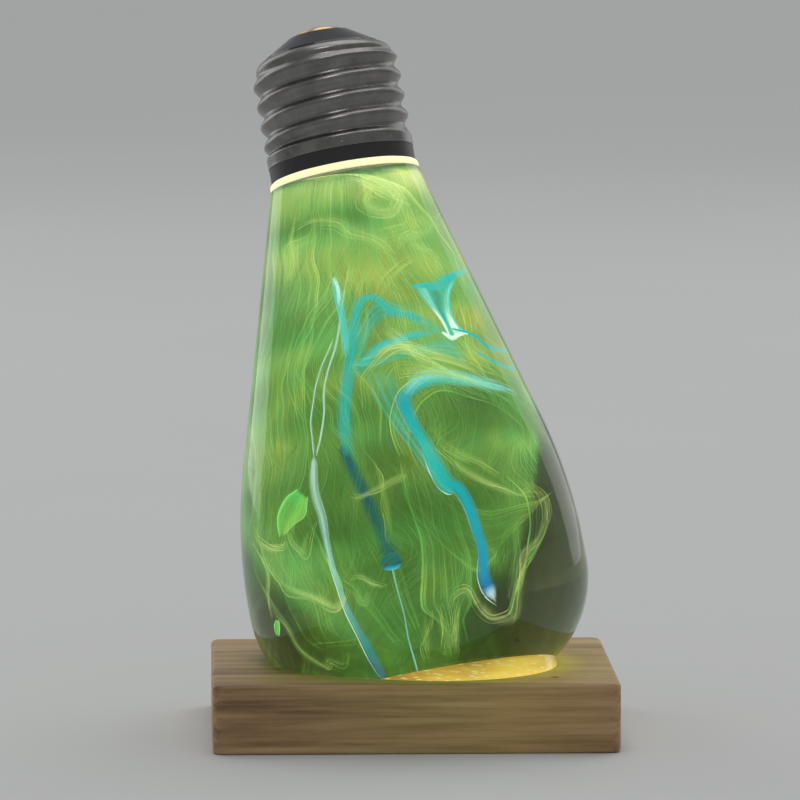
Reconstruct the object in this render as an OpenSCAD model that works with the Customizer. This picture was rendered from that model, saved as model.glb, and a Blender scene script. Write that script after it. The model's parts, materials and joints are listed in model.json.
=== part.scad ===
// Resin bulb lamp on a wooden plinth.
// A screw-cap LED lamp whose envelope is a solid cast-resin bulb with veils and
// streaks of ink set inside it. The bulb is ground flat low on one side, so that
// it stands leaning on the plinth. Millimetres; origin at the centre of the
// plinth's underside; +Z up, +X right, -Y is the front.

/* [Plinth] */
// Width of the plinth, left to right
plinth_w = 70; // [62:1:100]
// Depth of the plinth, front to back
plinth_d = 58; // [58:1:90]
// Thickness of the plinth
plinth_t = 12; // [6:0.5:25]
// Radius of the plinth's upright corners
plinth_corner_r = 2; // [0.5:0.5:6]
// Chamfer along the plinth's top and bottom edges
plinth_chamfer = 0.6; // [0.2:0.1:1.5]

/* [Stance] */
// Lean of the bulb to its left, in degrees
lean_left = 9.7; // [6:0.1:12]
// Lean of the bulb to its back, in degrees
lean_back = 13.6; // [10:0.1:16]
// Where the bulb's axis meets the plinth, right of its centre
foot_x = 3.5; // [0:0.5:5]
// Where the bulb's axis meets the plinth, behind its centre
foot_y = -2.5; // [-4:0.5:0]
// Length of the axis from the plinth to the middle of the light collar
neck_to_foot = 87.5; // [86:0.5:90]

/* [Bulb] */
// Radius of the resin's cone at the middle of the light collar
neck_r = 13.1; // [12.8:0.1:13.4]
// Half angle of the cone, in degrees
cone_angle = 15.8; // [15:0.1:16.5]
// Largest radius of the bulb
belly_r = 30; // [29:0.5:31]
// Distance of the largest radius below the light collar
belly_s = 72; // [71:0.5:73]
// Length of the straight belly below that
belly_straight = 2; // [1:0.5:4]
// Radius of the rounded bottom corner
base_r = 20; // [18:0.5:22]
// Radius of the straight foot below that corner
foot_r = 21.5; // [20:0.5:22.5]

/* [Light collar] */
// Height of the light collar
collar_h = 1.4; // [1.3:0.1:2.4]
// Outer radius of the light collar
collar_r = 13.3; // [13.2:0.1:13.6]
// Inner radius of the light collar
collar_inner_r = 11; // [10.8:0.1:11.5]

/* [Screw cap] */
// Thread pitch of the 27 mm Edison screw
thread_pitch = 3.629; // [3.629]
// Crest radius of the thread
thread_major_r = 13.1; // [13.0:0.05:13.2]
// Root radius of the thread
thread_minor_r = 12.15; // [12.1:0.05:12.25]
// Height above the collar's middle of the lowest crest that faces the front
crest_front_t = 8.26; // [7:0.1:10]
// Sheet thickness of the screw shell
shell_wall = 0.3; // [0.2:0.05:0.4]
// Number of facets around the screw shell
shell_facets = 48; // [36:4:56]

/* [LEDs] */
// Number of LED chips on their board
led_count = 6; // [4:1:6]
// Radius of the circle of LED chips
led_circle_r = 6.5; // [6:0.1:7]
// Radius of the LED board
led_board_r = 10.6; // [10:0.1:10.8]

/* [Hidden] */
$fn = 96;

// Every piece of the bulb is drawn in the bulb's own frame: its origin is the middle
// of the light collar, +Z runs up the axis to the centre contact. Depths into the
// resin are called s and run the other way.
belly_arc_r = (neck_r + tan(cone_angle) * belly_s - belly_r) / (1 / cos(cone_angle) - 1);
tangent_s = belly_s - belly_arc_r * sin(cone_angle);
base_s = belly_s + belly_straight;

// Heights on the cap's side of the collar
collar_top = collar_h / 2;
board_t = 0.2;
board_h = 1;
pad_h = 0.2;
pad_t = board_t + board_h;
sink_t = pad_t + pad_h;
sink_h = 1.6;
sink_r = 11.5;
flange_top = 3.4;
sleeve_top = 19.2;
sleeve_r = 11.75;
sleeve_inner_r = 10.7;
shell_top = 22.4;
glass_bottom = 21.2;
glass_top = 25.8;
glass_bore_r = 0.8;
contact_t = 25.4;
contact_h = 1;
contact_r = 4.7;

// Fixing holes through the LED board, its pad and the heat sink
screw_r = 1;
screw_circle_r = 8.2;
lead_r = 0.45;
lead_x = 2.5;
lead_y = -0.95;

// Driver board, standing on edge inside the sleeve
pcb_w = 18;
pcb_half = 0.5;
pcb_t0 = 4.2;
pcb_t1 = 18.5;

// Routes of the wires, in the bulb's frame
shell_wire_route = [[7.5, 0.8, 15.5], [7.5, 0.8, 18.5], [8.6, 0.8, 19.7], [10.4, 0.6, 19.8],
    [11.5, 0.5, 19.7]];
contact_wire_route = [[-7.5, 0.8, 15.5], [-7.5, 0.8, 18.5], [-5, 0.5, 19.8], [-1.5, 0, 20.2],
    [0, 0, 21.5], [0, 0, contact_t]];
wire_r = 0.3;

// Routes of the ink streaks: [across, depth, s, radius], from the top down
hook_route = [[14, -11, 44, 0.6], [9, -12, 42, 1.1], [5, -13, 42, 1.3], [2, -14, 44, 1.4],
    [2.5, -15, 48.5, 1.2], [4.5, -16, 54, 1], [6, -16, 59, 1], [8, -16, 61.5, 1],
    [9, -16, 66.5, 0.8], [9.5, -16, 71.5, 0.8], [9, -16, 75.5, 1], [10, -15, 79, 1.1]];
side_route = [[-6, -12, 30.5, 0.4], [-9.5, -12, 38.5, 0.5], [-11, -13, 46.5, 0.5],
    [-12.5, -13, 50.5, 0.5], [-13.5, -13, 56, 0.5], [-13, -14, 61.5, 0.5], [-13, -15, 68.5, 0.5],
    [-12, -15, 76, 0.6], [-10, -13.5, 81.5, 0.6], [-8.5, -10, 85, 0.6]];
bead_route = [[-6, -9, 54.5, 0.3], [-5, -9, 60.5, 0.3], [-4, -9.5, 66, 0.4], [-3.5, -9.5, 70.5, 0.3],
    [-3, -9, 76.5, 0.3], [-3, -8.5, 80, 0.3], [-2.5, -6, 84, 0.3]];
bead_at = [-3.5, -9.5, -70.5];
bead_r = 1.7;
trunk_route = [[0.5, 0, 25.5, 0.6], [-2, 0, 29.5, 1], [-3, 0, 35, 1.2], [-4.5, 1, 41, 1.2],
    [-5, 1, 48, 1], [-5, 1, 53.5, 0.6]];
funnel_route = [[11, -7.5, 22.5, 3.6], [10.5, -9, 25, 2.6], [10.5, -10, 28, 1.3],
    [11, -10, 31, 0.9], [12.5, -9.5, 34, 0.7]];
thread_routes = [[[11.5, -12, 32.5, 0.4], [15, -10, 34, 0.4], [17.5, -9, 36.5, 0.4], [21, -2, 37, 0.4]],
    [[15, -12, 37, 0.3], [18, -9.5, 39.5, 0.4], [21.5, -4, 40.5, 0.3]]];
flecks = [[-19, -16, 59, 1.9], [-24, -9.5, 77.5, 0.8]];

// Ink veils: [middle angle, half width in degrees, first s, last s, share of the radius]
veils = [[200, 70, 8, 80, 0.86], [300, 62, 6, 58, 0.74], [60, 66, 10, 60, 0.62],
    [170, 80, 14, 76, 0.5], [20, 70, 8, 44, 0.4], [280, 60, 18, 78, 0.28]];
veil_wall = 0.5;
veil_ripple = 0.035;

function unit(v) = v / norm(v);

// A curve through the points of a route, with k steps between neighbours
function bend(p, k) = [for (i = [0:len(p) - 2]) for (j = [0:k - 1])
    let (a = p[max(i - 1, 0)], b = p[i], c = p[i + 1], d = p[min(i + 2, len(p) - 1)], x = j / k)
    0.5 * (2 * b + (c - a) * x + (2 * a - 5 * b + 4 * c - d) * x * x
        + (3 * b - a - 3 * c + d) * x * x * x), p[len(p) - 1]];

function way(c, i) = unit(c[min(i + 1, len(c) - 1)] - c[max(i - 1, 0)]);

// Faces that close a stack of rings of n points each
function stack_faces(rings, n) = [
    [for (j = [0:n - 1]) n - 1 - j],
    for (i = [0:rings - 2]) for (j = [0:n - 1])
        let (a = i * n + j, b = i * n + (j + 1) % n)
        each [[a, b, b + n], [a, b + n, a + n]],
    [for (j = [0:n - 1]) (rings - 1) * n + j]];

// A round tube along a curve, with its own radius at each point
module tube(curve, radii, sides = 8) {
    points = [for (i = [0:len(curve) - 1])
        let (t = way(curve, i), across = unit(cross([0, 1, 0], t)), up = cross(t, across))
        for (j = [0:sides - 1])
            curve[i] + radii[i] * (cos(360 * j / sides) * across + sin(360 * j / sides) * up)];
    polyhedron(points, stack_faces(len(curve), sides), convexity = 8);
}

module wire(route, r = wire_r) {
    curve = bend(route, 3);
    tube(curve, [for (i = [0:len(curve) - 1]) r]);
}

// A streak of ink whose route gives across, depth, s and radius
module streak(route) {
    curve = bend(route, 2);
    tube([for (p = curve) [p[0], p[1], -p[2]]], [for (p = curve) p[3]]);
}

// Carries the bulb's own frame to where it stands on the plinth
module on_axis() {
    translate([foot_x, foot_y, plinth_t])
        rotate([-lean_back, 0, 0])
            rotate([0, -lean_left, 0])
                translate([0, 0, neck_to_foot])
                    children();
}

module chamfered(w, h, c) {
    polygon([[-w / 2 + c, 0], [w / 2 - c, 0], [w / 2, c], [w / 2, h - c], [w / 2 - c, h],
        [-w / 2 + c, h], [-w / 2, h - c], [-w / 2, c]]);
}

module rounded(w, d, r) {
    square([w - 2 * r, d], center = true);
    square([w, d - 2 * r], center = true);
    for (x = [-1, 1]) {
        for (y = [-1, 1]) {
            translate([x * (w / 2 - r), y * (d / 2 - r)]) circle(r);
        }
    }
}

module wood_plinth() {
    color("burlywood")
        intersection() {
            linear_extrude(plinth_t) rounded(plinth_w, plinth_d, plinth_corner_r);
            rotate([90, 0, 0])
                translate([0, 0, -plinth_d])
                    linear_extrude(2 * plinth_d)
                        chamfered(plinth_w, plinth_t, plinth_chamfer);
            rotate([90, 0, 90])
                translate([0, 0, -plinth_w])
                    linear_extrude(2 * plinth_w)
                        chamfered(plinth_d, plinth_t, plinth_chamfer);
        }
}

// Points along an arc, from one angle to another
function arc(centre, r, from, to, steps) = [for (i = [0:steps])
    let (a = from + (to - from) * i / steps) centre + r * [cos(a), sin(a)]];

// Half outline of the whole bulb: the cone, the long arc of the belly, the round corner
// and the straight foot
module bulb_outline() {
    foot_turn = acos((foot_r - belly_r + base_r) / base_r);
    polygon(concat(
        [[0, -collar_top], [neck_r + collar_top * tan(cone_angle), -collar_top]],
        arc([belly_r - belly_arc_r, -belly_s], belly_arc_r, cone_angle, 0, 16),
        arc([belly_r - base_r, -base_s], base_r, 0, -foot_turn, 18),
        [[foot_r, -base_s - 1.5 * base_r], [0, -base_s - 1.5 * base_r]]));
}

// The bulb, ground flat where it stands
module resin_bulb() {
    color("olivedrab", 0.5)
        difference() {
            on_axis() rotate_extrude($fn = 180) bulb_outline();
            translate([-plinth_w, -plinth_w, plinth_t - 2 * plinth_w])
                cube(2 * plinth_w);
        }
}

module light_collar() {
    bead_w = collar_r - collar_inner_r;
    color("lightyellow")
        on_axis()
            rotate_extrude()
                translate([collar_inner_r + bead_w / 2, 0])
                    rounded(bead_w, collar_h, 0.6);
}

// The holes that the LED board, its pad and the heat sink share
module fixing_holes(hole_r, wire_hole_r) {
    for (y = [-1, 1]) {
        translate([0, y * screw_circle_r, -10]) cylinder(h = 20, r = hole_r);
    }
    for (x = [-1, 1]) {
        translate([x * lead_x, lead_y, -10]) cylinder(h = 20, r = wire_hole_r);
    }
}

module led_board() {
    color("white")
        on_axis()
            difference() {
                translate([0, 0, board_t]) cylinder(h = board_h, r = led_board_r);
                fixing_holes(screw_r + 0.1, lead_r + 0.1);
            }
}

module led_chips() {
    chip_w = 2.8;
    chip_l = 3.5;
    chip_h = 0.8;
    color("khaki")
        on_axis()
            for (i = [0:led_count - 1]) {
                rotate([0, 0, 360 * i / led_count])
                    translate([led_circle_r - chip_w / 2, -chip_l / 2, board_t - chip_h])
                        cube([chip_w, chip_l, chip_h]);
            }
}

module led_board_screws() {
    head_r = 1.3;
    head_h = 0.7;
    slot_w = 0.4;
    color("silver")
        on_axis()
            for (y = [-1, 1]) {
                translate([0, y * screw_circle_r, 0])
                    difference() {
                        union() {
                            translate([0, 0, board_t - head_h]) cylinder(h = head_h, r = head_r);
                            translate([0, 0, board_t]) cylinder(h = sink_t + sink_h - board_t, r = screw_r);
                        }
                        translate([-slot_w / 2, -0.8, board_t - head_h - 0.1]) cube([slot_w, 1.6, 0.5]);
                        translate([-0.8, -slot_w / 2, board_t - head_h - 0.1]) cube([1.6, slot_w, 0.5]);
                    }
            }
}

module thermal_pad() {
    color("lightgrey")
        on_axis()
            difference() {
                translate([0, 0, pad_t]) cylinder(h = pad_h, r = 10);
                fixing_holes(screw_r + 0.1, lead_r + 0.3);
            }
}

module heat_sink() {
    color("gainsboro")
        on_axis()
            difference() {
                translate([0, 0, sink_t]) cylinder(h = sink_h, r = sink_r);
                fixing_holes(screw_r, lead_r + 0.3);
            }
}

// Plastic sleeve that carries the heat sink, the driver and the screw shell
module driver_housing() {
    rail_x = 8.3;
    rail_w = 2.8;
    rail_h = 1;
    seat_r = sink_r + 0.1;
    color("#1a1a1a")
        on_axis() {
            rotate_extrude()
                polygon([[seat_r, collar_top], [12.9, collar_top], [12.9, flange_top],
                    [12.6, flange_top], [12.6, 5], [sleeve_r, 5.8], [sleeve_r, sleeve_top],
                    [sleeve_inner_r, sleeve_top], [sleeve_inner_r, sink_t + sink_h],
                    [seat_r, sink_t + sink_h]]);
            for (x = [-1, 1]) {
                for (y = [-1, 1]) {
                    intersection() {
                        translate([x * (rail_x + rail_w / 2) - rail_w / 2,
                            y * (pcb_half + 0.05 + rail_h / 2) - rail_h / 2, pcb_t0])
                            cube([rail_w, rail_h, pcb_t1 - pcb_t0]);
                        cylinder(h = sleeve_top, r = sleeve_inner_r + 0.4);
                    }
                }
            }
        }
}

module driver_board() {
    color("seagreen")
        on_axis()
            translate([-pcb_w / 2, -pcb_half, pcb_t0])
                cube([pcb_w, 2 * pcb_half, pcb_t1 - pcb_t0]);
}

// A round lead bent at a right angle, from a part's end into the board
module bent_lead(x, y, t_end, t_bend) {
    r = 0.25;
    side = y > 0 ? 1 : -1;
    translate([x, y, min(t_end, t_bend) - r]) cylinder(h = abs(t_end - t_bend) + r, r = r, $fn = 24);
    translate([x, side * pcb_half, t_bend])
        rotate([-side * 90, 0, 0]) cylinder(h = abs(y) - pcb_half, r = r, $fn = 24);
}

module smoothing_capacitor() {
    r = 4;
    y = pcb_half + r + 0.2;
    color("midnightblue")
        on_axis() {
            translate([0, y, 6.5])
                rotate_extrude()
                    polygon([[0, 0], [r - 0.4, 0], [r, 0.4], [r, 1.2], [r - 0.3, 1.5], [r, 1.8],
                        [r, 9.6], [r - 0.4, 10], [r - 0.9, 10], [r - 1.1, 9.8], [0, 9.8]]);
            for (x = [-1, 1]) {
                bent_lead(x, y, 6.6, 5.4);
            }
        }
}

// A moulded chip lying on the driver board, with its legs along two sides
module flat_pack(x, t, w, h, depth, legs) {
    gap = 0.1;
    leg_w = 0.5;
    translate([x - w / 2, -pcb_half - gap - depth, t - h / 2]) cube([w, depth, h]);
    for (i = [0:legs - 1]) {
        for (side = [-1, 1]) {
            translate([x + side * (w / 2 + 0.4) - 0.5,
                -pcb_half - 0.5, t + (i - (legs - 1) / 2) * (h / legs) - leg_w / 2])
                cube([1, 0.5, leg_w]);
        }
    }
}

module bridge_rectifier() {
    color("dimgray") on_axis() flat_pack(-3.5, 15.5, 4.2, 4.4, 1.5, 2);
}

module driver_chip() {
    color("black") on_axis() flat_pack(-3.5, 9.4, 3.9, 4.9, 1.4, 4);
}

module filter_inductor() {
    color("sienna")
        on_axis()
            translate([5, -pcb_half, 9.4])
                rotate([90, 0, 0])
                    rotate_extrude()
                        polygon([[0, 0], [3, 0], [3, 0.7], [2.6, 0.9], [2.6, 3.8], [3, 4],
                            [3, 4.6], [0, 4.6]]);
}

module fusible_resistor() {
    r = 1.15;
    y = -pcb_half - r - 0.2;
    half = 2.75;
    color("steelblue")
        on_axis() {
            translate([4.8 - half, y, 15.6])
                rotate([0, 90, 0])
                    rotate_extrude()
                        polygon([[0, 0], [r, 0.2], [r, 1.2], [r - 0.15, 1.5], [r - 0.15, 4],
                            [r, 4.3], [r, 5.3], [0, 5.5]]);
            for (side = [-1, 1]) {
                translate([4.8 + side * (half + 0.2), y, 15.6]) sphere(0.35, $fn = 24);
                translate([4.8 + side * (half + 0.2), -pcb_half, 15.6])
                    rotate([90, 0, 0]) cylinder(h = -y - pcb_half, r = 0.25, $fn = 24);
            }
        }
}

// A straight insulated lead from the driver board to its solder pad by the LEDs
module led_lead(x) {
    solder_r = 0.8;
    on_axis()
        translate([x, lead_y, board_t]) {
            cylinder(h = 5.6, r = lead_r, $fn = 32);
            intersection() {
                sphere(solder_r, $fn = 32);
                translate([0, 0, -solder_r / 2]) cube([2, 2, 1] * solder_r, center = true);
            }
        }
}

module led_wire_red() {
    color("red") led_lead(lead_x);
}

module led_wire_black() {
    color("black") led_lead(-lead_x);
}

module shell_wire() {
    color("lightgrey") on_axis() wire(shell_wire_route);
}

module contact_wire() {
    color("gold") on_axis() wire(contact_wire_route);
}

// Shape of the screw shell: the plain skirt, the rolled thread and the rolled-in top
function ease(x) = let (y = min(1, max(0, x))) y * y * (3 - 2 * y);
function base_radius(t) = t < 10
    ? 13 - (13 - thread_minor_r) * ease((t - 5.2) / 1.2)
    : thread_minor_r - 1.15 * pow(max(0, (t - 20.9) / (shell_top - 20.9)), 2);
function thread_wave(t, a) = 0.5 + 0.5 * cos(360 * (t - crest_front_t) / thread_pitch - a + 270);
function thread_fade(t) = ease((t - 5.4) / 1.6) * ease((21 - t) / 1.6);
function shell_radius(t, a) = base_radius(t)
    + (thread_major_r - thread_minor_r) * thread_wave(t, a) * thread_fade(t);

// Right-handed rolled thread, as one closed skin of even thickness
module screw_shell() {
    rows = 46;
    n = shell_facets;
    step = (shell_top - flange_top) / (rows - 1);
    outer = [for (i = [0:rows - 1]) for (j = [0:n - 1])
        let (t = flange_top + i * step, a = 360 * j / n, r = shell_radius(t, a))
        [r * cos(a), r * sin(a), t]];
    inner = [for (i = [0:rows - 1]) for (j = [0:n - 1])
        let (t = shell_top - i * step, a = 360 * j / n, r = shell_radius(t, a) - shell_wall)
        [r * cos(a), r * sin(a), t]];
    rings = 2 * rows;
    faces = [for (i = [0:rings - 1]) for (j = [0:n - 1]) for (half = [0, 1])
        let (a = i * n + j, b = i * n + (j + 1) % n,
            c = ((i + 1) % rings) * n + (j + 1) % n, d = ((i + 1) % rings) * n + j)
        half == 0 ? [a, c, b] : [a, d, c]];
    color("dimgray")
        on_axis() polyhedron(concat(outer, inner), faces, convexity = 10);
}

module cap_insulator() {
    rim_r = 10.6;
    color("black")
        on_axis()
            rotate_extrude()
                polygon([[glass_bore_r, glass_bottom], [rim_r, glass_bottom], [rim_r, shell_top],
                    [rim_r - 0.4, shell_top + 0.5], [5.6, glass_top], [contact_r, glass_top],
                    [contact_r, contact_t], [glass_bore_r, contact_t]]);
}

module centre_contact() {
    color("goldenrod")
        on_axis()
            rotate_extrude()
                polygon([[glass_bore_r, contact_t], [contact_r, contact_t], [contact_r, glass_top],
                    [contact_r - 0.7, contact_t + contact_h], [glass_bore_r, contact_t + contact_h]]);
}

module contact_solder() {
    dome_r = 3.5;
    dome_h = 1;
    color("silver")
        on_axis() {
            intersection() {
                translate([0, 0, contact_t + contact_h + dome_h - dome_r]) sphere(dome_r);
                translate([0, 0, contact_t + contact_h]) cylinder(h = 2, r = dome_r);
            }
            translate([0, 0, contact_t]) cylinder(h = contact_h, r = glass_bore_r);
        }
}

// Radius of the resin at depth s
function bulb_radius(s) = s < tangent_s
    ? neck_r + s * tan(cone_angle)
    : s < belly_s
        ? belly_r - belly_arc_r + sqrt(pow(belly_arc_r, 2) - pow(belly_s - s, 2))
        : belly_r - base_r + sqrt(pow(base_r, 2) - pow(max(0, s - base_s), 2));

// A thin rippled curtain of ink that follows the bulb's outline at a share of its radius
module veil(mid, spread, s0, s1, share) {
    across = 15;
    down = 11;
    function spot(i, j, inset) =
        let (u = i / (across - 1), v = j / (down - 1), a = mid + spread * (2 * u - 1) * (1 - 0.3 * v),
            s = s0 + (s1 - s0) * v + 3 * sin(4 * a),
            r = bulb_radius(s) * (share + veil_ripple * sin(9 * a + 8 * s)) - inset)
        [r * cos(a), r * sin(a), -s];
    front = [for (j = [0:down - 1]) for (i = [0:across - 1]) spot(i, j, 0)];
    back = [for (j = [0:down - 1]) for (i = [0:across - 1]) spot(i, j, veil_wall)];
    m = across * down;
    skin = [for (j = [0:down - 2]) for (i = [0:across - 2])
        let (a = j * across + i, b = a + 1, c = a + across + 1, d = a + across)
        each [[a, b, c], [a, c, d], [a + m, c + m, b + m], [a + m, d + m, c + m]]];
    sides = [for (j = [0:down - 2])
        let (a = j * across, b = a + across, c = a + across - 1, d = c + across)
        each [[a, b, b + m], [a, b + m, a + m], [c, d + m, d], [c, c + m, d + m]]];
    ends = [for (i = [0:across - 2])
        let (a = i, b = i + 1, c = (down - 1) * across + i, d = c + 1)
        each [[a, a + m, b + m], [a, b + m, b], [c, d + m, c + m], [c, d, d + m]]];
    polyhedron(concat(front, back), concat(skin, sides, ends), convexity = 8);
}

module ink_veils() {
    color("yellowgreen")
        on_axis()
            for (v = veils) {
                veil(v[0], v[1], v[2], v[3], v[4]);
            }
}

module ink_hook_streak() {
    color("deepskyblue") on_axis() streak(hook_route);
}

module ink_side_streak() {
    color("lightskyblue") on_axis() streak(side_route);
}

module ink_bead() {
    color("steelblue") on_axis() translate(bead_at) sphere(bead_r, $fn = 48);
}

module ink_bead_thread() {
    color("steelblue") on_axis() streak(bead_route);
}

module ink_trunk_streak() {
    color("mediumturquoise") on_axis() streak(trunk_route);
}

module ink_funnel() {
    color("turquoise") on_axis() streak(funnel_route);
}

module ink_right_threads() {
    color("lightskyblue")
        on_axis()
            for (route = thread_routes) {
                streak(route);
            }
}

module ink_flecks() {
    color("limegreen")
        on_axis()
            for (f = flecks) {
                translate([f[0], f[1], -f[2]]) sphere(f[3], $fn = 48);
            }
}

wood_plinth();
resin_bulb();
light_collar();
led_board();
led_chips();
led_board_screws();
thermal_pad();
heat_sink();
driver_housing();
driver_board();
smoothing_capacitor();
bridge_rectifier();
driver_chip();
filter_inductor();
fusible_resistor();
led_wire_red();
led_wire_black();
shell_wire();
contact_wire();
screw_shell();
cap_insulator();
centre_contact();
contact_solder();
ink_veils();
ink_hook_streak();
ink_side_streak();
ink_bead();
ink_bead_thread();
ink_trunk_streak();
ink_funnel();
ink_right_threads();
ink_flecks();
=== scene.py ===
"""Looks of the resin bulb lamp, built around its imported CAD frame. Blender units are metres.

Shapes inside the bulb are worked out in the bulb's own frame, in millimetres: its origin is the
middle of the light collar, +x is across, +y runs to the back, +z runs up the axis to the cap's
contact, and s is the distance below the collar. world() carries points to where the bulb stands.
"""

import json
import math

import bmesh
import bpy
import numpy as np
from mathutils import Matrix, Vector

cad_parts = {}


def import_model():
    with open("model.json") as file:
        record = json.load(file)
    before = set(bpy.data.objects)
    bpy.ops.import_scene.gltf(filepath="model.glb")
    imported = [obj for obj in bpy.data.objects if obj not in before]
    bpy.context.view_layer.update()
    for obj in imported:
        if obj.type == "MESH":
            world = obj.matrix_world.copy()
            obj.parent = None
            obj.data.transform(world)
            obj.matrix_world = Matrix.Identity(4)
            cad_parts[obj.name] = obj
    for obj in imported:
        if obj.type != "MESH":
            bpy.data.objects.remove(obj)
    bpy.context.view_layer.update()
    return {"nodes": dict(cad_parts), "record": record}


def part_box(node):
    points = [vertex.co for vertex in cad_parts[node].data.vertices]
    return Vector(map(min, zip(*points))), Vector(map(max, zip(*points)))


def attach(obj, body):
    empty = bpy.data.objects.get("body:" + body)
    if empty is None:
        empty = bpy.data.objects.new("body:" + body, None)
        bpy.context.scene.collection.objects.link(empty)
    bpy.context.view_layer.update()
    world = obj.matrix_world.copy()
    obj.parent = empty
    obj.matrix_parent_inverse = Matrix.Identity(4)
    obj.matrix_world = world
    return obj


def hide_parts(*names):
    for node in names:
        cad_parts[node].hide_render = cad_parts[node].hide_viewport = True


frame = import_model()

MM = 0.001
SEED = 7
AROUND = 288  # points around the bulb and the shell
STEPS = 90  # points along a streak of ink
THINNEST = 0.008  # filaments narrower than this, in mm, are left out
# How far out each kind of ink and the painted rim highlights may lie, as a share of the bulb's radius
CORE_SHARE, FIBRE_SHARE, FUNNEL_SHARE, CURTAIN_SHARE = 0.965, 0.975, 0.96, 0.97
HAZE_SHARE, WALL_SHARE, PAINTED_RIM_SHARE = 0.975, 0.985, 0.99
RELIEF = 0.0002  # height of the fine relief, in metres

# The bulb's outline, as in the CAD
NECK_R = 13.1
CONE = math.radians(15.8)
BELLY_R = 30.0
BELLY_S = 72.0
BASE_S = 74.0
BASE_R = 20.0
FOOT_R = 21.5
TOP_S = COLLAR_HALF = 0.7
COLLAR_OUTER, COLLAR_INNER = 13.3, 11.0
COLLAR_GLOW = 0.75
BELLY_ARC = (NECK_R + math.tan(CONE) * BELLY_S - BELLY_R) / (1 / math.cos(CONE) - 1)
TANGENT_S = BELLY_S - BELLY_ARC * math.sin(CONE)
BOTTOM_S = BASE_S + BASE_R
FOOT_TURN = math.acos((FOOT_R - BELLY_R + BASE_R) / BASE_R)

# The screw shell, as in the CAD
CAP_RIM = 3.4
SHELL_TOP = 22.4
PITCH = 3.629
MAJOR_R = 13.1
MINOR_R = 12.15
FRONT_CREST = 8.26
SHELL_WALL = 0.3
SKIRT_R, SKIRT_TOP, SKIRT_EASE = 13.0, 5.2, 1.2
THREAD_FROM, THREAD_TO, THREAD_EASE = 5.4, 21, 1.6
ROLL_FROM, ROLL_IN = 20.9, 1.15
CRIMPS, CRIMP_T, CRIMP_R, CRIMP_DEPTH = 8, 4.5, 0.35, 0.22

# The rounding of the plinth's upright corners and of its edges
CORNER_R, EDGE_R = 2.0, 0.7

mounts = {m["name"]: m for m in frame["record"]["mounts"]}
AXIS = Vector(mounts["screw_cap"]["axis"]).normalized()
COLLAR = Vector(mounts["screw_cap"]["pos_m"]) - AXIS * CAP_RIM * MM
LEAN_LEFT = math.asin(-AXIS.x)
LEAN_BACK = math.atan2(AXIS.y, AXIS.z)
TURN = Matrix.Rotation(-LEAN_BACK, 3, "X") @ Matrix.Rotation(-LEAN_LEFT, 3, "Y")
PLINTH_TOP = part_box("wood_plinth")[1][2]

# On the plinth's top, in metres: its knot, the middle of the bulb's flat and how far the painted glow of the
# lamp's light reaches
KNOT = (0.024, -0.0205, PLINTH_TOP)
FLAT_CENTRE = (0.0035, -0.0025, PLINTH_TOP)
PAINTED_GLOW_REACH = 0.042


def world(points):
    """Bulb-frame millimetres to metres in the row's frame."""
    return np.asarray(points, float) @ np.array(TURN).T * MM + np.array(COLLAR)


def height(points):
    """How far bulb-frame points lie above the plinth, in mm."""
    return (world(points)[..., 2] - PLINTH_TOP) / MM


def bulb_radius(s):
    """Radius of the resin at s below the collar."""
    s = np.asarray(s, float)
    cone = NECK_R + s * math.tan(CONE)
    belly = BELLY_R - BELLY_ARC + np.sqrt(np.maximum(0, BELLY_ARC**2 - (BELLY_S - s) ** 2))
    base = BELLY_R - BASE_R + np.sqrt(np.maximum(0, BASE_R**2 - np.maximum(0, s - BASE_S) ** 2))
    return np.where(s < TANGENT_S, cone, np.where(s < BELLY_S, belly, np.maximum(base, FOOT_R)))


# ---------------------------------------------------------------- mesh helpers

def smooth(x):
    """Eases from 0 to 1 as x goes from 0 to 1."""
    y = np.clip(x, 0, 1)
    return y * y * (3 - 2 * y)


def put(name, data):
    """An object in the scene."""
    obj = bpy.data.objects.new(name, data)
    bpy.context.scene.collection.objects.link(obj)
    return obj


def link(mesh, name, material, body, replaced=()):
    """Makes the mesh a piece that rides on a body."""
    obj = put(name, mesh)
    mesh.materials.append(material)
    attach(obj, body)
    if replaced:
        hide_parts(*replaced)


def quads_mesh(name, points, quads, rounded=True):
    """A mesh of quads, shaded smooth if it is rounded."""
    mesh = bpy.data.meshes.new(name)
    points = np.asarray(points, np.float32).reshape(-1, 3)
    quads = np.asarray(quads, np.int32).reshape(-1, 4)
    mesh.vertices.add(len(points))
    mesh.vertices.foreach_set("co", points.ravel())
    mesh.loops.add(quads.size)
    mesh.loops.foreach_set("vertex_index", quads.ravel())
    mesh.polygons.add(len(quads))
    mesh.polygons.foreach_set("loop_start", np.arange(0, quads.size, 4, dtype=np.int32))
    mesh.update(calc_edges=True)
    mesh.polygons.foreach_set("use_smooth", np.full(len(quads), rounded))
    return mesh


def grid_quads(rows, cols, wrap_rows=False, wrap_cols=False):
    """Quads between neighbours of a rows by cols grid of points."""
    i = np.arange(rows if wrap_rows else rows - 1)
    j = np.arange(cols if wrap_cols else cols - 1)
    i, j = np.meshgrid(i, j, indexing="ij")
    a = i * cols + j
    b = i * cols + (j + 1) % cols
    c = (i + 1) % rows * cols + (j + 1) % cols
    d = (i + 1) % rows * cols + j
    return np.stack([a, b, c, d], -1).reshape(-1, 4)


def revolve(outline, around):
    """Bulb-frame points of an outline [(r, z), ...] turned about the axis, as a grid."""
    r, z = np.asarray(outline, float).T
    a = np.linspace(0, 2 * math.pi, around, endpoint=False)
    return np.stack([r[:, None] * np.cos(a), r[:, None] * np.sin(a), z[:, None] + 0 * a], -1)


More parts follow.
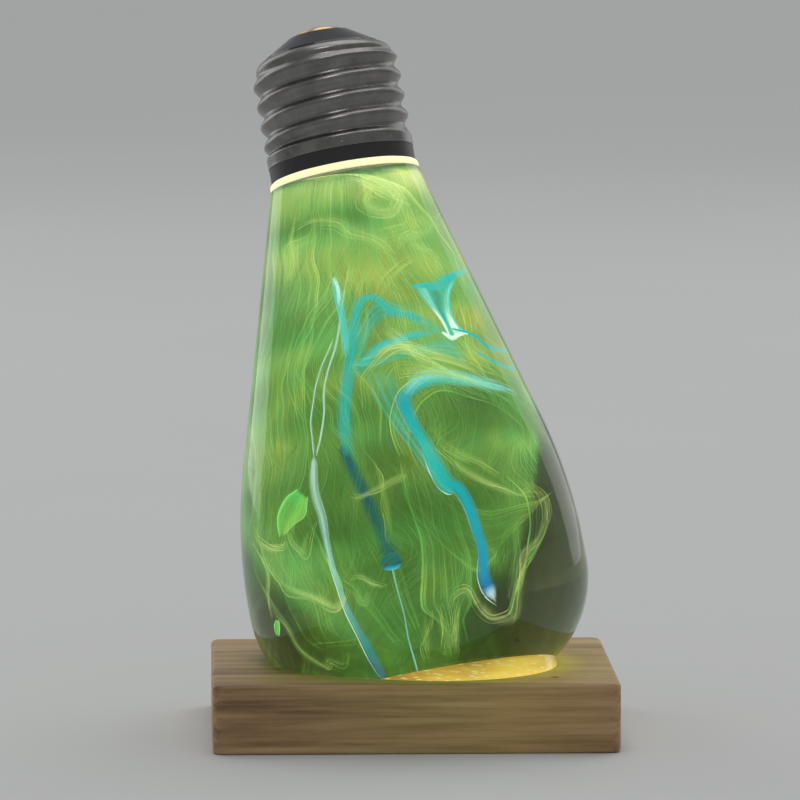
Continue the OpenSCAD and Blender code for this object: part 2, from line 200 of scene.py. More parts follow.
def bend(points, count):
    """A smooth curve of count points through a route's points, by Catmull-Rom."""
    p = np.asarray(points, float)
    p = np.vstack([2 * p[0] - p[1], p, 2 * p[-1] - p[-2]])
    t = np.linspace(0, len(p) - 3, count)
    i = np.minimum(t.astype(int), len(p) - 4)
    x = (t - i)[:, None]
    a, b, c, d = p[i], p[i + 1], p[i + 2], p[i + 3]
    return 0.5 * (2 * b + (c - a) * x + (2 * a - 5 * b + 4 * c - d) * x**2
                  + (3 * b - a - 3 * c + d) * x**3)


def unit(v):
    """Vectors scaled to a length of 1."""
    return v / np.maximum(np.linalg.norm(v, axis=-1, keepdims=True), 1e-9)


# ---------------------------------------------------------------- ink: flow and filaments

def wave_set(rng, longest, shortest, waves):
    """Waves in random directions and of falling length, and the share of the longest that each length is."""
    length = np.geomspace(longest, shortest, waves)
    return unit(rng.normal(size=(waves, 3))) * (2 * math.pi / length)[:, None], length / longest


class Flow:
    """A swirling velocity field that neither gathers nor spreads: each wave pushes across its own run."""

    def __init__(self, seed, longest, shortest):
        rng, waves = np.random.default_rng(seed), 18
        self.k, share = wave_set(rng, longest, shortest, waves)
        across = np.cross(self.k, rng.normal(size=(waves, 3)))
        self.push = unit(across) * share[:, None] ** 0.9 * 0.5
        self.phase = rng.uniform(0, 2 * math.pi, waves)

    def __call__(self, p):
        return np.sin(p @ self.k.T + self.phase) @ self.push


class Waves:
    """A smooth random number at each point, of about -1 to 1, as a sum of plane waves."""

    def __init__(self, seed, longest, shortest):
        rng, waves = np.random.default_rng(seed), 14
        self.k, share = wave_set(rng, longest, shortest, waves)
        weight = share**0.6
        self.weight = weight / math.sqrt((weight**2).sum() / 2)
        self.phase = rng.uniform(0, 2 * math.pi, waves)

    def __call__(self, p):
        return np.tanh(np.sin(p @ self.k.T + self.phase) @ self.weight)


def stay_inside(p, share):
    """Eases points back to a share of the resin's radius, and lifts them off the ground flat."""
    s = np.clip(-p[..., 2], TOP_S + 0.4, BOTTOM_S)
    free, floor = 0.8, 0.8
    q = np.hypot(p[..., 0], p[..., 1]) / (bulb_radius(s) * share)
    eased = np.where(q > free, free + (1 - free) * np.tanh((q - free) / (1 - free)), q)
    scale = np.where(q > 1e-6, eased / np.maximum(q, 1e-6), 1)
    out = np.stack([p[..., 0] * scale, p[..., 1] * scale, -s], -1)
    return out + np.maximum(0, floor - height(out))[..., None] * np.array(TURN)[2]


def drift(p, flow, reach, steps, grow=1.0):
    """Carries points along a flow. grow says how far each goes, as a share of reach."""
    for _ in range(steps):
        p = p + reach / steps * grow * flow(p)
    return p


def filaments(paths, width, seed):
    """Flat filaments along paths (count, points, 3), each turned its own way.

    The width is a number, or one for each point. Returns points, quads and each point's place in the paths.
    """
    rng = np.random.default_rng(seed)
    count, steps = paths.shape[:2]
    way = unit(np.gradient(paths, axis=1))
    side = unit(np.cross(way, unit(rng.normal(size=(count, 1, 3)))))
    taper = np.sin(np.linspace(0.06, math.pi - 0.06, steps)) ** 0.4
    width = np.broadcast_to(width, (count, steps)) * taper
    half = side * (width / 2)[..., None]
    points = np.stack([paths - half, paths + half], 2).reshape(-1, 3)
    start = np.arange(count)[:, None] * steps * 2 + np.arange(steps - 1) * 2
    quads = np.stack([start, start + 1, start + 3, start + 2], -1)
    wide = np.minimum(width[:, 1:], width[:, :-1]) > THINNEST
    quads = quads[wide].reshape(-1, 4)
    used, back = np.unique(quads, return_inverse=True)
    return points[used], back.reshape(-1, 4), used // 2


def crossways(path):
    """Two unit vectors square to a path at each of its points."""
    way = unit(np.gradient(path, axis=0))
    across = unit(np.cross([0, 1, 0], way))
    return across, np.cross(way, across)


def tube(path, radius, sides, squash=1.0):
    """A round tube along a path, with a radius at each point, squashed towards the back if asked."""
    across, up = crossways(path)
    a = np.linspace(0, 2 * math.pi, sides, endpoint=False)
    ring = across[:, None] * np.cos(a)[None, :, None] + squash * up[:, None] * np.sin(a)[None, :, None]
    points = (path[:, None] + radius[:, None, None] * ring).reshape(-1, 3)
    return points, grid_quads(len(path), sides, wrap_cols=True)


def down(rail, count):
    """The smooth curve of count points through a rail, [(across, depth, s), ...]."""
    return bend([(x, y, -s) for x, y, s in rail], count)


def between(rails, rows, cols):
    """The smooth sheet between two rails, as a grid."""
    a, b = (down(rail, rows) for rail in rails)
    u = np.linspace(0, 1, cols)[None, :, None]
    return a[:, None] * (1 - u) + b[:, None] * u


def along(grid, count, seed, rims=0.0):
    """Paths down a sheet, closer together in places. The share `rims` of them lies near its two edges."""
    rng = np.random.default_rng(seed)
    u = rng.uniform(0, 1, count)
    u = u + 0.04 * np.sin(u * 29 + seed) + 0.016 * np.sin(u * 83 + 2 * seed)
    edge = np.abs(rng.normal(0, 0.035, count))
    near_edge = rng.uniform(0, 1, count) < rims
    u = np.where(near_edge, np.where(rng.uniform(0, 1, count) < 0.5, edge, 1 - edge), u)
    u = np.sort(np.clip(u, 0, 1)) * (grid.shape[1] - 1)
    i = np.minimum(u.astype(int), grid.shape[1] - 2)
    x = (u - i)[:, None, None]
    turned = grid.transpose(1, 0, 2)
    return turned[i] * (1 - x) + turned[i + 1] * x


# ---------------------------------------------------------------- materials

class Look:
    """A material being put together. Each call adds a node and hands back one of the node's outputs.

    Values without a name feed the node's inputs in turn. Names in lower case are its settings, and names with a
    capital its inputs, with _ for a space. An input takes a plain value, or an output to link.
    """

    def __init__(self, name):
        self.material = bpy.data.materials.new(name)
        self.material.use_nodes = True
        self.tree = self.material.node_tree
        self.tree.nodes.clear()
        self.place = self("TexCoord", out="Object")

    def __call__(self, kind, *feeds, out=0, **named):
        n = self.tree.nodes.new("ShaderNode" + kind)
        for key in [k for k in named if k[0].islower()]:
            setattr(n, key, named.pop(key))
        pairs = list(zip(n.inputs, feeds)) + [(n.inputs[k.replace("_", " ")], v) for k, v in named.items()]
        for socket, value in pairs:
            if isinstance(value, bpy.types.NodeSocket):
                self.tree.links.new(value, socket)
            elif value is not None:
                socket.default_value = (*value, 1) if socket.type == "RGBA" else value
        return n.outputs[out] if n.outputs else n

    def maths(self, operation, *feeds):
        return self("Math", *feeds, operation=operation)

    def noise(self, scale, detail=2.0, along=None, **named):
        return self("TexNoise", self.place if along is None else along, Scale=scale, Detail=detail, **named)

    def ramp(self, factor, stops):
        color = self("ValToRGB", factor)
        elements = color.node.color_ramp.elements
        while len(elements) < len(stops):
            elements.new(0.5)
        for element, (at, tint) in zip(elements, stops):
            element.position = at
            element.color = (*tint, 1)
        return color

    def mix(self, factor, a, b, blend="MIX"):
        return self("Mix", data_type="RGBA", blend_type=blend, out="Result", Factor=factor, A=a, B=b)

    def attribute(self, name):
        return self("Attribute", out="Fac", attribute_name=name)

    def finish(self, shader, volume=None):
        self("OutputMaterial", Surface=shader, Volume=volume)
        return self.material

    def veil(self, shown, tint, glow):
        """Finishes as ink that glows where it is shown and is clear elsewhere."""
        lit = self("Emission", Color=tint, Strength=glow)
        return self.finish(self("MixShader", shown, self("BsdfTransparent"), lit))


def surface(name, color, rough, metal=0.0, vary=0.12, scale=400.0, bump=0.0, stretch=(1, 1, 1),
            glow=0.0):
    """A plain finish whose colour, roughness and height vary finely over the piece."""
    look = Look(name)
    noise = look.noise(scale, 6.0, look("Mapping", look.place, Scale=stretch), Roughness=0.6)
    dark, light = (tuple(min(1, c * (1 + part)) for c in color) for part in (-vary, vary))
    tint = look.ramp(noise, [(0.3, dark), (0.7, light)])
    more = {"Emission_Color": tint, "Emission_Strength": glow} if glow else {}
    if bump:
        more["Normal"] = look("Bump", Height=noise, Strength=bump, Distance=RELIEF)
    gloss = look("MapRange", noise, To_Min=max(0, rough - 0.06), To_Max=rough + 0.06)
    return look.finish(look("BsdfPrincipled", Base_Color=tint, Metallic=metal, Roughness=gloss, **more))


def lit_plastic(name, color, glow):
    """Translucent plastic lit from inside, a little uneven."""
    return surface(name, color, rough=0.35, vary=0.05, scale=900.0, glow=glow)


def clear_resin():
    """Clear cast resin that takes a yellow-green tint with depth."""
    look = Look("clear_resin")
    gloss = look("MapRange", look.noise(60.0, 4.0), To_Min=0.0, To_Max=0.04)
    shader = look("BsdfPrincipled", Base_Color=(1, 1, 1), IOR=1.5, Transmission_Weight=1.0, Roughness=gloss)
    return look.finish(shader, look("VolumeAbsorption", Color=(0.50, 0.54, 0.16), Density=50.0))


def ground_flat_painted_glow():
    """The bulb's ground flat: frosted resin with a painted gold glow, as if lit from the neck above and
    brighter to the right, and painted glints.
    """
    look = Look("ground_flat_painted_glow")
    across = look("SeparateXYZ", look.place, out="X")
    # Painted light: the flat's colour and glow grow brighter to the right, as if light from the neck fell there
    painted_light_rise = look.maths("MULTIPLY_ADD", across, 9.0, look.noise(55.0, 4.0))
    tint = look.ramp(painted_light_rise, [(0.3, (0.30, 0.14, 0.015)), (0.52, (0.55, 0.31, 0.035)), (0.75, (1.0, 0.70, 0.12))])
    # Painted glints: small bright spots laid over the glow
    painted_sparkle_cells = look("TexVoronoi", look.place, out="Distance", Scale=520.0)
    painted_glint = look.ramp(painted_sparkle_cells, [(0.18, (1, 1, 1)), (0.34, (0, 0, 0))])
    lit = look.mix(painted_glint, tint, (1.0, 0.86, 0.42))
    return look.finish(look("BsdfPrincipled", Base_Color=tint, Roughness=0.55, Emission_Color=lit,
                            Emission_Strength=0.8))


def wood():
    """Oiled wood with straight grain from left to right and a small knot, and a faint painted glow of the
    lamp's light around the bulb's flat.
    """
    look = Look("plinth_wood")
    away = look("VectorMath", look.place, KNOT, operation="DISTANCE", out="Value")
    near = look("MapRange", away, From_Min=0.0, From_Max=0.006, To_Min=0.0016, To_Max=0.0)
    around = look("VectorMath", look.place, look("CombineXYZ", Y=near), operation="ADD")
    grain = look("Mapping", around, Scale=(0.06, 1.0, 1.0))
    rings = look.noise(190.0, 5.0, grain, Roughness=0.62, Distortion=0.4)
    fibre = look.noise(1500.0, 3.0, look("Mapping", around, Scale=(0.03, 1.0, 1.0)))
    both = look.maths("MULTIPLY_ADD", fibre, 0.35, rings)
    tint = look.ramp(both, [(0.45, (0.20, 0.105, 0.042)), (0.62, (0.40, 0.245, 0.11)),
                            (0.85, (0.58, 0.40, 0.21))])
    heart = look("MapRange", away, From_Min=0.0004, From_Max=0.0011)
    # Painted light: an emissive pool of the lamp's glow around the bulb's flat that fades with distance, green
    # to the left and yellow to the right
    foot = look("VectorMath", look.place, FLAT_CENTRE, operation="SUBTRACT")
    reach = look.maths("DIVIDE", look("VectorMath", foot, operation="LENGTH", out="Value"), PAINTED_GLOW_REACH)
    painted_glow_levels = [(0.55, 1), (0.66, 0.30), (0.80, 0.10), (1.0, 0)]
    fall = look.ramp(reach, [(at, (level,) * 3) for at, level in painted_glow_levels])
    side = look("MapRange", look("SeparateXYZ", foot, out="X"), From_Min=-0.025, From_Max=0.022)
    glow = look.ramp(side, [(0.0, (0.05, 0.16, 0.01)), (0.6, (0.22, 0.26, 0.02)), (1.0, (0.80, 0.66, 0.05))])
    return look.finish(look(
        "BsdfPrincipled", Base_Color=look.mix(heart, (0.05, 0.022, 0.01), tint),
        Emission_Color=look.mix(1.0, fall, glow, "MULTIPLY"), Emission_Strength=0.3,
        Roughness=look("MapRange", rings, To_Min=0.42, To_Max=0.62),
        Normal=look("Bump", Height=both, Strength=0.35, Distance=RELIEF)))


def smoke(name, stops, glow, body, threads, lines=0.10, warmed=0.9):
    """Haze: mostly clear, with soft bodies and fine threads that run along the sheet, and warmer in places."""
    look = Look(name)
    flow = look("UVMap", uv_map="flow")

    def noise(across, length, low, high, detail=3.0, distortion=0.0):
        fit = look("Mapping", flow, Scale=(1 / across, 1 / length, 1))
        value = look.noise(1.0, detail, fit, Distortion=distortion)
        return look("MapRange", value, interpolation_type="SMOOTHSTEP", From_Min=low, From_Max=high)

    soft = noise(5.0, 14.0, 0.3, 0.7, distortion=0.6)
    fine = noise(0.4, 9.0, 0.48, 0.76, detail=4.0, distortion=0.15)
    wisp = noise(1.7, 16.0, 0.5, 0.75, distortion=0.3)
    shown = look.maths("MULTIPLY_ADD", soft, body, body * 0.35)
    shown = look.maths("MULTIPLY_ADD", fine, threads, shown)
    shown = look.maths("MULTIPLY_ADD", wisp, threads * 0.6, shown)
    bright = look.maths("MULTIPLY_ADD", fine, lines, look.attribute("tone"))
    bright = look.maths("MULTIPLY_ADD", wisp, 0.06, bright)
    patch = look.noise(75.0, 3.0, Distortion=1.0)
    warmth = look.ramp(patch, [(0.38, (0.72, 1.0, 1.1)), (0.5, (1.0, 1.0, 1.0)), (0.64, (1.5, 1.0, 0.7))])
    tint = look.mix(warmed, look.ramp(bright, stops), warmth, "MULTIPLY")
    return look.veil(look.maths("MULTIPLY", shown, look.attribute("amount")), tint, glow)


def soft_ink(name, stops, glow):
    """Translucent ink whose strength and colour follow the piece's amount and tone."""
    look = Look(name)
    varied = look.maths("MULTIPLY_ADD", look.noise(420.0), 1.2, 0.4)
    shown = look.maths("MULTIPLY", varied, look.attribute("amount"))
    return look.veil(shown, look.ramp(look.attribute("tone"), stops), glow)


def thread_ink(name, stops, glow):
    """Opaque ink lit from within the bulb, whose colour follows the piece's tone."""
    look = Look(name)
    mixed = look.maths("MULTIPLY_ADD", look.noise(900.0, 3.0), 0.12, look.attribute("tone"))
    tint = look.ramp(look.maths("SUBTRACT", mixed, 0.06), stops)
    pale = look.mix(1.0, tint, (0.25, 0.25, 0.25), "MULTIPLY")
    return look.finish(look("BsdfPrincipled", Base_Color=pale, Roughness=0.6, Emission_Color=tint,
                            Emission_Strength=glow))


# ---------------------------------------------------------------- the bulb, collar and cap

def resin_bulb():
    """The cast bulb, with its ground flat as a frosted face of its own material, which carries a painted glow.
    """
    side = [(float(bulb_radius(s)), -s) for s in np.linspace(TOP_S, TANGENT_S, 24)]
    side += [(float(bulb_radius(s)), -s) for s in np.linspace(TANGENT_S, BASE_S, 44)[1:]]
    turns = np.linspace(0, FOOT_TURN, 30)[1:]
    side += [(BELLY_R - BASE_R + BASE_R * math.cos(a), -BASE_S - BASE_R * math.sin(a)) for a in turns]
    # The straight foot runs on below the plinth's top, where the flat cuts it off
    side += [(FOOT_R, z) for z in np.linspace(side[-1][1] - 0.3, -BOTTOM_S - 8, 16)]
    mesh = quads_mesh("resin_bulb_cast", world(revolve(side, AROUND)),
                      grid_quads(len(side), AROUND, wrap_cols=True))
    bm = bmesh.new()
    bm.from_mesh(mesh)
    rims = [e for e in bm.edges if e.is_boundary]
    for face in bmesh.ops.edgeloop_fill(bm, edges=rims)["faces"]:
        face.smooth = False
    gap = 0.02 * MM
    cut = bmesh.ops.bisect_plane(bm, geom=bm.verts[:] + bm.edges[:] + bm.faces[:],
                                 plane_co=(0, 0, PLINTH_TOP + gap), plane_no=(0, 0, 1), clear_inner=True)
    edges = [e for e in cut["geom_cut"] if isinstance(e, bmesh.types.BMEdge)]
    for face in bmesh.ops.edgeloop_fill(bm, edges=edges)["faces"]:
        face.material_index = 1
        face.smooth = False
    bmesh.ops.recalc_face_normals(bm, faces=bm.faces[:])
    for edge in bm.edges:
        if any(not f.smooth for f in edge.link_faces) or edge.calc_face_angle(0) > 0.5:
            edge.smooth = False
    bm.to_mesh(mesh)
    bm.free()
    link(mesh, "resin_bulb_cast", clear_resin(), "lamp", ["resin_bulb"])
    mesh.materials.append(ground_flat_painted_glow())


def light_collar():
    """The lit ring at the neck, a moulded bead that isn't quite even."""
    outline = []
    for toward, up, edge, a0, a1 in [(1, 1, 0.6, 90, 0), (1, -1, 0.6, 0, -90), (-1, -1, 0.3, -90, -180),
                                     (-1, 1, 0.3, 180, 90)]:
        r = (COLLAR_OUTER if toward > 0 else COLLAR_INNER) - toward * edge
        z = up * (COLLAR_HALF - edge)
        outline += [(r + edge * math.cos(math.radians(a)), z + edge * math.sin(math.radians(a)))
                    for a in np.linspace(a0, a1, 9)]
    around = 240
    grid = revolve(outline, around)
    a = np.arctan2(grid[..., 1], grid[..., 0])
    swell = 1 + 0.004 * np.sin(5 * a + 1) + 0.003 * np.sin(11 * a)
    outside = np.hypot(grid[..., 0], grid[..., 1])[..., None] > (COLLAR_OUTER + COLLAR_INNER) / 2
    grid = np.where(outside, grid * np.stack([swell, swell, 1 + 0 * swell], -1), grid)
    mesh = quads_mesh("light_collar_bead", world(grid),
                      grid_quads(len(outline), around, wrap_rows=True, wrap_cols=True))
    link(mesh, "light_collar_bead", lit_plastic("collar_diffuser", (1.0, 0.90, 0.52), COLLAR_GLOW),
         "lamp", ["light_collar"])


def shell_radius(t, a):
    """Radius of the screw shell's outside at height t and angle a, with its punched crimps."""
    skirt = (SKIRT_R - MINOR_R) * (1 - smooth((t - SKIRT_TOP) / SKIRT_EASE))
    roll = ROLL_IN * np.maximum(0, (t - ROLL_FROM) / (SHELL_TOP - ROLL_FROM)) ** 2
    wave = 0.5 + 0.5 * np.cos(2 * math.pi * (t - FRONT_CREST) / PITCH - a + 1.5 * math.pi)
    fade = smooth((t - THREAD_FROM) / THREAD_EASE) * smooth((THREAD_TO - t) / THREAD_EASE)
    radius = MINOR_R + skirt - roll + (MAJOR_R - MINOR_R) * wave * fade
    turn = (a * CRIMPS / (2 * math.pi) + 0.5) % 1 - 0.5
    across = turn * 2 * math.pi / CRIMPS * SKIRT_R
    pit = np.exp(-((t - CRIMP_T) ** 2 + across**2) / CRIMP_R**2)
    burr = 0.03 * np.sin(3 * a + 0.5) * smooth((t - CAP_RIM) / 0.4)
    return radius - CRIMP_DEPTH * pit + burr


def screw_shell():
    """The rolled shell: crimped skirt, thread and turned-in top, with a wall of even thickness."""
    a = np.linspace(0, 2 * math.pi, AROUND, endpoint=False)[None]
    walls = []
    for start, end, rows, inset in [(CAP_RIM, SHELL_TOP, 190, 0), (SHELL_TOP, CAP_RIM, 60, SHELL_WALL)]:
        t = np.linspace(start, end, rows)[:, None]
        r = shell_radius(t, a) - inset
        walls.append(np.stack([r * np.cos(a), r * np.sin(a), t + 0 * a], -1))
    grid = np.concatenate(walls)
    mesh = quads_mesh("screw_shell_rolled", world(grid),
                      grid_quads(len(grid), AROUND, wrap_rows=True, wrap_cols=True))
    metal = surface("cap_metal", (0.20, 0.195, 0.185), rough=0.27, metal=1.0, vary=0.22, scale=260.0, bump=0.12)
    link(mesh, "screw_shell_rolled", metal, "lamp", ["screw_shell"])


def wooden_plinth():
    """The small board, with eased edges and rounder upright corners."""
    low, high = (Vector(c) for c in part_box("wood_plinth"))
    bm = bmesh.new()
    bmesh.ops.create_cube(bm, size=1)
    for v in bm.verts:
        v.co = Vector(low[i] if v.co[i] < 0 else high[i] for i in range(3))
    upright = [e for e in bm.edges if abs(e.verts[0].co.z - e.verts[1].co.z) > 0.5 * (high.z - low.z)]
    bmesh.ops.bevel(bm, geom=upright, offset=CORNER_R * MM, segments=6, profile=0.5, affect="EDGES")
    flat = [e for e in bm.edges if len(e.link_faces) == 2 and e.calc_face_angle() > 1.2
            and abs(e.verts[0].co.z - e.verts[1].co.z) < 1e-6]
    bmesh.ops.bevel(bm, geom=flat, offset=EDGE_R * MM, segments=4, profile=0.5, affect="EDGES")
    for f in bm.faces:
        f.smooth = f.calc_area() < (6 * MM) ** 2
    mesh = bpy.data.meshes.new("wood_plinth_board")
    bm.to_mesh(mesh)
    bm.free()
    link(mesh, "wood_plinth_board", wood(), "plinth", ["wood_plinth"])


# ---------------------------------------------------------------- the ink

# Rails of the curtains of ink: [(across, depth, s), ...] for each of a curtain's two edges, in mm
CURTAINS = {
    "left_outer": (
        [(-10, -1, 4), (-14, -2, 21), (-19, -2, 38), (-23, -3, 52), (-25, -1, 62)],
        [(-5, -6, 5), (-8, -9, 23), (-12, -11, 41), (-15, -12, 53), (-18, -11, 65)]),
    "left_back": (
        [(-3, 8, 4), (-5, 13, 22), (-7, 17, 44), (-9, 20, 65), (-9, 21, 72)],
        [(1, 7, 5), (-1, 12, 24), (-3, 16, 46), (-5, 19, 67), (-6, 20, 73)]),
    "neck_swirl": (
        [(-8, -4, 2), (0, -6, 3), (6, -5, 7), (7, -2, 10), (3, 2, 10)],
        [(-4, 2, 2), (3, 0, 2), (7, 1, 6), (7, 2, 13), (3, 4, 14)]),
    "neck_right": (
        [(2, -2, 2), (8, -1, 6), (11, 0, 15), (13, -2, 25)],
        [(-2, 4, 2), (3, 6, 7), (6, 8, 19), (8, 10, 33)]),
    "swoosh": (
        [(-6, -4, 49), (-4, -4, 35), (0, -2, 25), (5, 0, 19), (9, 5, 16)],
        [(-6, 1, 47), (-5, 1, 33), (-3, 2, 22), (2, 4, 15), (7, 6, 11)]),
    "centre_back": (
        [(-2, 3, 9), (-2, 6, 24), (-3, 11, 43), (-3, 12, 62), (-4, 13, 74)],
        [(7, 5, 12), (7, 7, 27), (6, 11, 46), (5, 12, 64), (2, 14, 75)]),
    "arch_right": (
        [(-4, -7, 46), (-2, -7, 38), (3, -9, 34), (10, -7, 41), (17, -2, 47), (21, 3, 59)],
        [(-2, 0, 50), (0, 0, 41), (3, -2, 38), (9, -1, 43), (14, 2, 51), (17, 5, 59)]),
    "hook_folds": (
        [(0, -14, 56), (0, -15, 47), (5, -14, 41), (12, -12, 44), (21, -1, 48)],
        [(3, -6, 58), (2, -5, 50), (6, -5, 44), (11, -3, 47), (16, 1, 54)]),
    "hook_fan": (
        [(2, -11, 51), (5, -11, 59), (9, -11, 64), (14, -9, 64), (19, -4, 63)],
        [(0, -3, 56), (2, -3, 66), (6, -3, 73), (11, -1, 73), (15, 2, 68)]),
    "right_curtain": (
        [(14, -11, 58), (16, -11, 63), (16, -13, 71), (14, -14, 76), (12, -13, 81)],
        [(16, -3, 61), (18, -2, 64), (17, -3, 69), (14, -5, 74), (13, -5, 78)]),
    "centre_fall": (
        [(0, -11, 53), (-1, -12, 64), (-1, -12, 75), (1, -6, 80), (2, -1, 81)],
        [(6, -8, 60), (6, -9, 69), (6, -8, 75), (4, -6, 78), (4, -1, 81)]),
    "low_left": (
        [(-19, 2, 55), (-20, -1, 65), (-18, -4, 73), (-15, -3, 78), (-12, 0, 80)],
        [(-14, -7, 54), (-13, -8, 65), (-11, -9, 73), (-9, -6, 78), (-8, -1, 80)]),
    "low_middle": (
        [(-10, -1, 58), (-9, -1, 68), (-8, -1, 74), (-6, 2, 77), (-4, 4, 79)],
        [(-2, 0, 55), (-2, 0, 66), (-2, 1, 74), (-1, 2, 78), (0, 4, 79)]),
}
# Sheets of teal ink: fullness, and the rails of the two edges
CYAN_SHEETS = {
    "trunk": (1,
        [(-2, -1, 20), (-3, -2, 32), (-5, -2, 42), (-6, -2, 51), (-5, -2, 59)],
        [(-0.6, 0, 25), (-1.6, 0, 34), (-3.6, 1, 43), (-4, 1, 51), (-4, 0, 61)]),
    "arch": (1,
        [(-3, -4, 36), (-1, -5, 27), (2, -6, 25), (6, -6, 29), (10, -6, 33)],
        [(-2, -2, 38), (0, -2, 31), (3, -3, 29), (6, -5, 32), (10, -6, 35)]),
    "branch": (1,
        [(-4, -4, 38), (-1, -5, 36), (3, -7, 35), (7, -8, 34), (11, -7, 33)],
        [(-4, -3, 39), (-1, -5, 38), (3, -6, 37), (8, -7, 37), (13, -6, 41)]),
    "hook_side": (0.45,
        [(-3.5, -11, 36), (-2.5, -13, 43), (-0.5, -14, 49), (2, -15, 55), (5, -15.5, 61)],
        [(2, -11.5, 38), (3, -13.5, 44), (4, -14.5, 50), (6, -15.5, 56), (8.5, -15.5, 61.5)]),
}
# Broad layers that fill the bulb with haze: depth of each in mm, and fullness
LAYERS = [(-17, 0.16), (-12.5, 0.22), (-8, 0.5), (-4, 0.8), (0, 1), (4, 1.15), (8.5, 1.3), (13, 1.4),
          (17.5, 1.4)]

# Wisps of green ink in front of the haze: radius, tone, and points (across, depth, s), in mm. The names are
# for the reader.
WISPS = {
    "arc_left": (0.7, 0.85, [(-9.5, -5.5, 10), (-6.5, -7.5, 9), (-3, -9, 10), (-0.5, -10, 12.5), (2.5, -10, 15),
        (4.5, -10.5, 18), (5, -10.5, 20.5)]),
    "arc_right": (0.5, 0.9, [(5.5, -8.5, 17.5), (6.5, -7.5, 15), (9, -6, 14.5), (12, -1.5, 12)]),
    "arc_low": (0.4, 0.95, [(6.5, -8, 16.5), (8.5, -6.5, 17), (10.5, -5.5, 19), (11.5, -5.5, 23.5)]),
    "curl": (0.6, 1.0, [(0.5, -6.5, 2), (3.5, -6.5, 3.5), (6.5, -5.5, 5.5), (7, -6, 8), (5, -7, 10),
        (2, -7.5, 8), (3, -7, 5.5), (5, -6.5, 6.5)]),
    "neck_line": (0.3, 1.0, [(-1, -8.5, 1.8), (2, -8.5, 3.5), (6, -8, 6.5), (9, -6.5, 9)]),
    "neck_side": (0.3, 0.9, [(5, -6.5, 1.8), (8.5, -6, 2.4), (11, -4, 5)]),
    "plume_left": (0.7, 0.8, [(-5.5, -9.5, 6), (-7, -9.5, 11.5), (-10.5, -7.5, 13), (-11.5, -8, 17.5),
        (-12.5, -7.5, 19.5)]),
    "wisp_left": (0.35, 0.8, [(-9, -8, 7), (-10.5, -8, 11), (-10.5, -9, 15.5), (-12, -9, 19)]),
    "hook_top": (0.5, 0.95, [(-4.5, -17, 36), (-1.5, -17.5, 35.5), (1.5, -17.5, 34.5), (4.5, -17, 35),
        (8.5, -16.5, 37), (13.5, -14.5, 40), (19.5, -9, 44)]),
    "hook_under": (0.5, 0.85, [(1.5, -18, 39), (4, -18, 39), (8.5, -17, 40), (13, -15, 42), (18.5, -11.5, 45)]),
    "hook_over": (0.35, 0.95, [(0.5, -15.5, 31), (2.5, -15.5, 33), (5.5, -16, 37), (10, -15, 40.5)]),
    "fold_upper": (0.35, 0.75, [(4.5, -18.5, 49), (8.5, -18.5, 54.5), (12, -17.5, 57), (14.5, -16.5, 60)]),
    "fold_lower": (0.35, 0.85, [(6, -19, 53), (9, -19, 57.5), (13, -17.5, 61), (16.5, -15.5, 63),
        (20.5, -11.5, 64)]),
    "loop_far": (0.3, 0.9, [(-24, -6, 59.5), (-24, -7.5, 62.5), (-22.5, -11, 64.5), (-20.5, -13.5, 64.5),
        (-20, -14, 63)]),
    "loop_near": (0.3, 0.7, [(-19, -14.5, 60.5), (-19.5, -14.5, 63), (-18, -16, 66.5), (-17, -16.5, 64.5),
        (-15, -18, 61.5)]),
    "loop_wide": (0.35, 0.9, [(-23.5, -8.5, 64.5), (-21.5, -13, 71), (-16.5, -17.5, 75), (-14.5, -18.5, 76.5),
        (-13, -19.5, 75.5), (-11.5, -20, 73.5)]),
    "loop_small": (0.4, 0.6, [(-12.5, -20, 72.5), (-11, -20.5, 74.5), (-10.5, -20.5, 76.5), (-9.5, -21, 76.5),
        (-9.5, -21, 75)]),
    "fringe": (0.35, 0.7, [(-26, -4.5, 65), (-25, -8, 70.5), (-22.5, -11.5, 77), (-21, -11.5, 81.5),
        (-17.5, -12, 84.5), (-17, -14, 84), (-14.5, -15, 85), (-13.5, -17.5, 83)]),
    "fringe_in": (0.3, 0.8, [(-25.5, -6, 62.5), (-24, -10, 67.5), (-24.5, -9, 72.5), (-24, -10, 76)]),
    "trail_left": (0.3, 0.75, [(-0.5, -17, 78.5), (-1, -15, 82.5), (-1, -12, 85)]),
    "trail_middle": (0.4, 0.8, [(1.5, -17, 78), (2, -15, 82), (2.5, -12, 85.5)]),
    "trail_right": (0.3, 0.85, [(5, -17, 78), (3.5, -15.5, 82), (3.5, -11.5, 85.5)]),
    "cross_line": (0.25, 0.85, [(-8.5, -16, 59.5), (-7, -16.5, 59.5), (-1.5, -17.5, 57.5), (0, -17, 56.5)]),
    "bead_line": (0.25, 0.75, [(-4, -16.5, 53.5), (-3.5, -17.5, 60.5), (-3.5, -17.5, 68)]),
    "bead_loop": (0.25, 0.9, [(-5.5, -17.5, 75), (-7.5, -17, 74), (-9, -16.5, 72.5), (-10.5, -15.5, 72.5)]),
    "curtain_line": (0.35, 0.6, [(16, -13, 64), (15, -14, 70.5), (13.5, -14.5, 76), (12, -14, 79.5)]),
    "curtain_edge": (0.35, 0.95, [(13.5, -11.5, 63), (17.5, -8.5, 62.5), (19.5, -6.5, 64), (19, -7.5, 67.5),
        (17, -9.5, 71.5), (15, -11, 73.5), (13.5, -11, 77.5), (12.5, -10, 80.5), (9.5, -11.5, 80.5),
        (7.5, -13, 78.5), (6, -14, 76.5), (4, -14, 77.5), (3, -13, 80.5), (2, -9.5, 84)]),
}
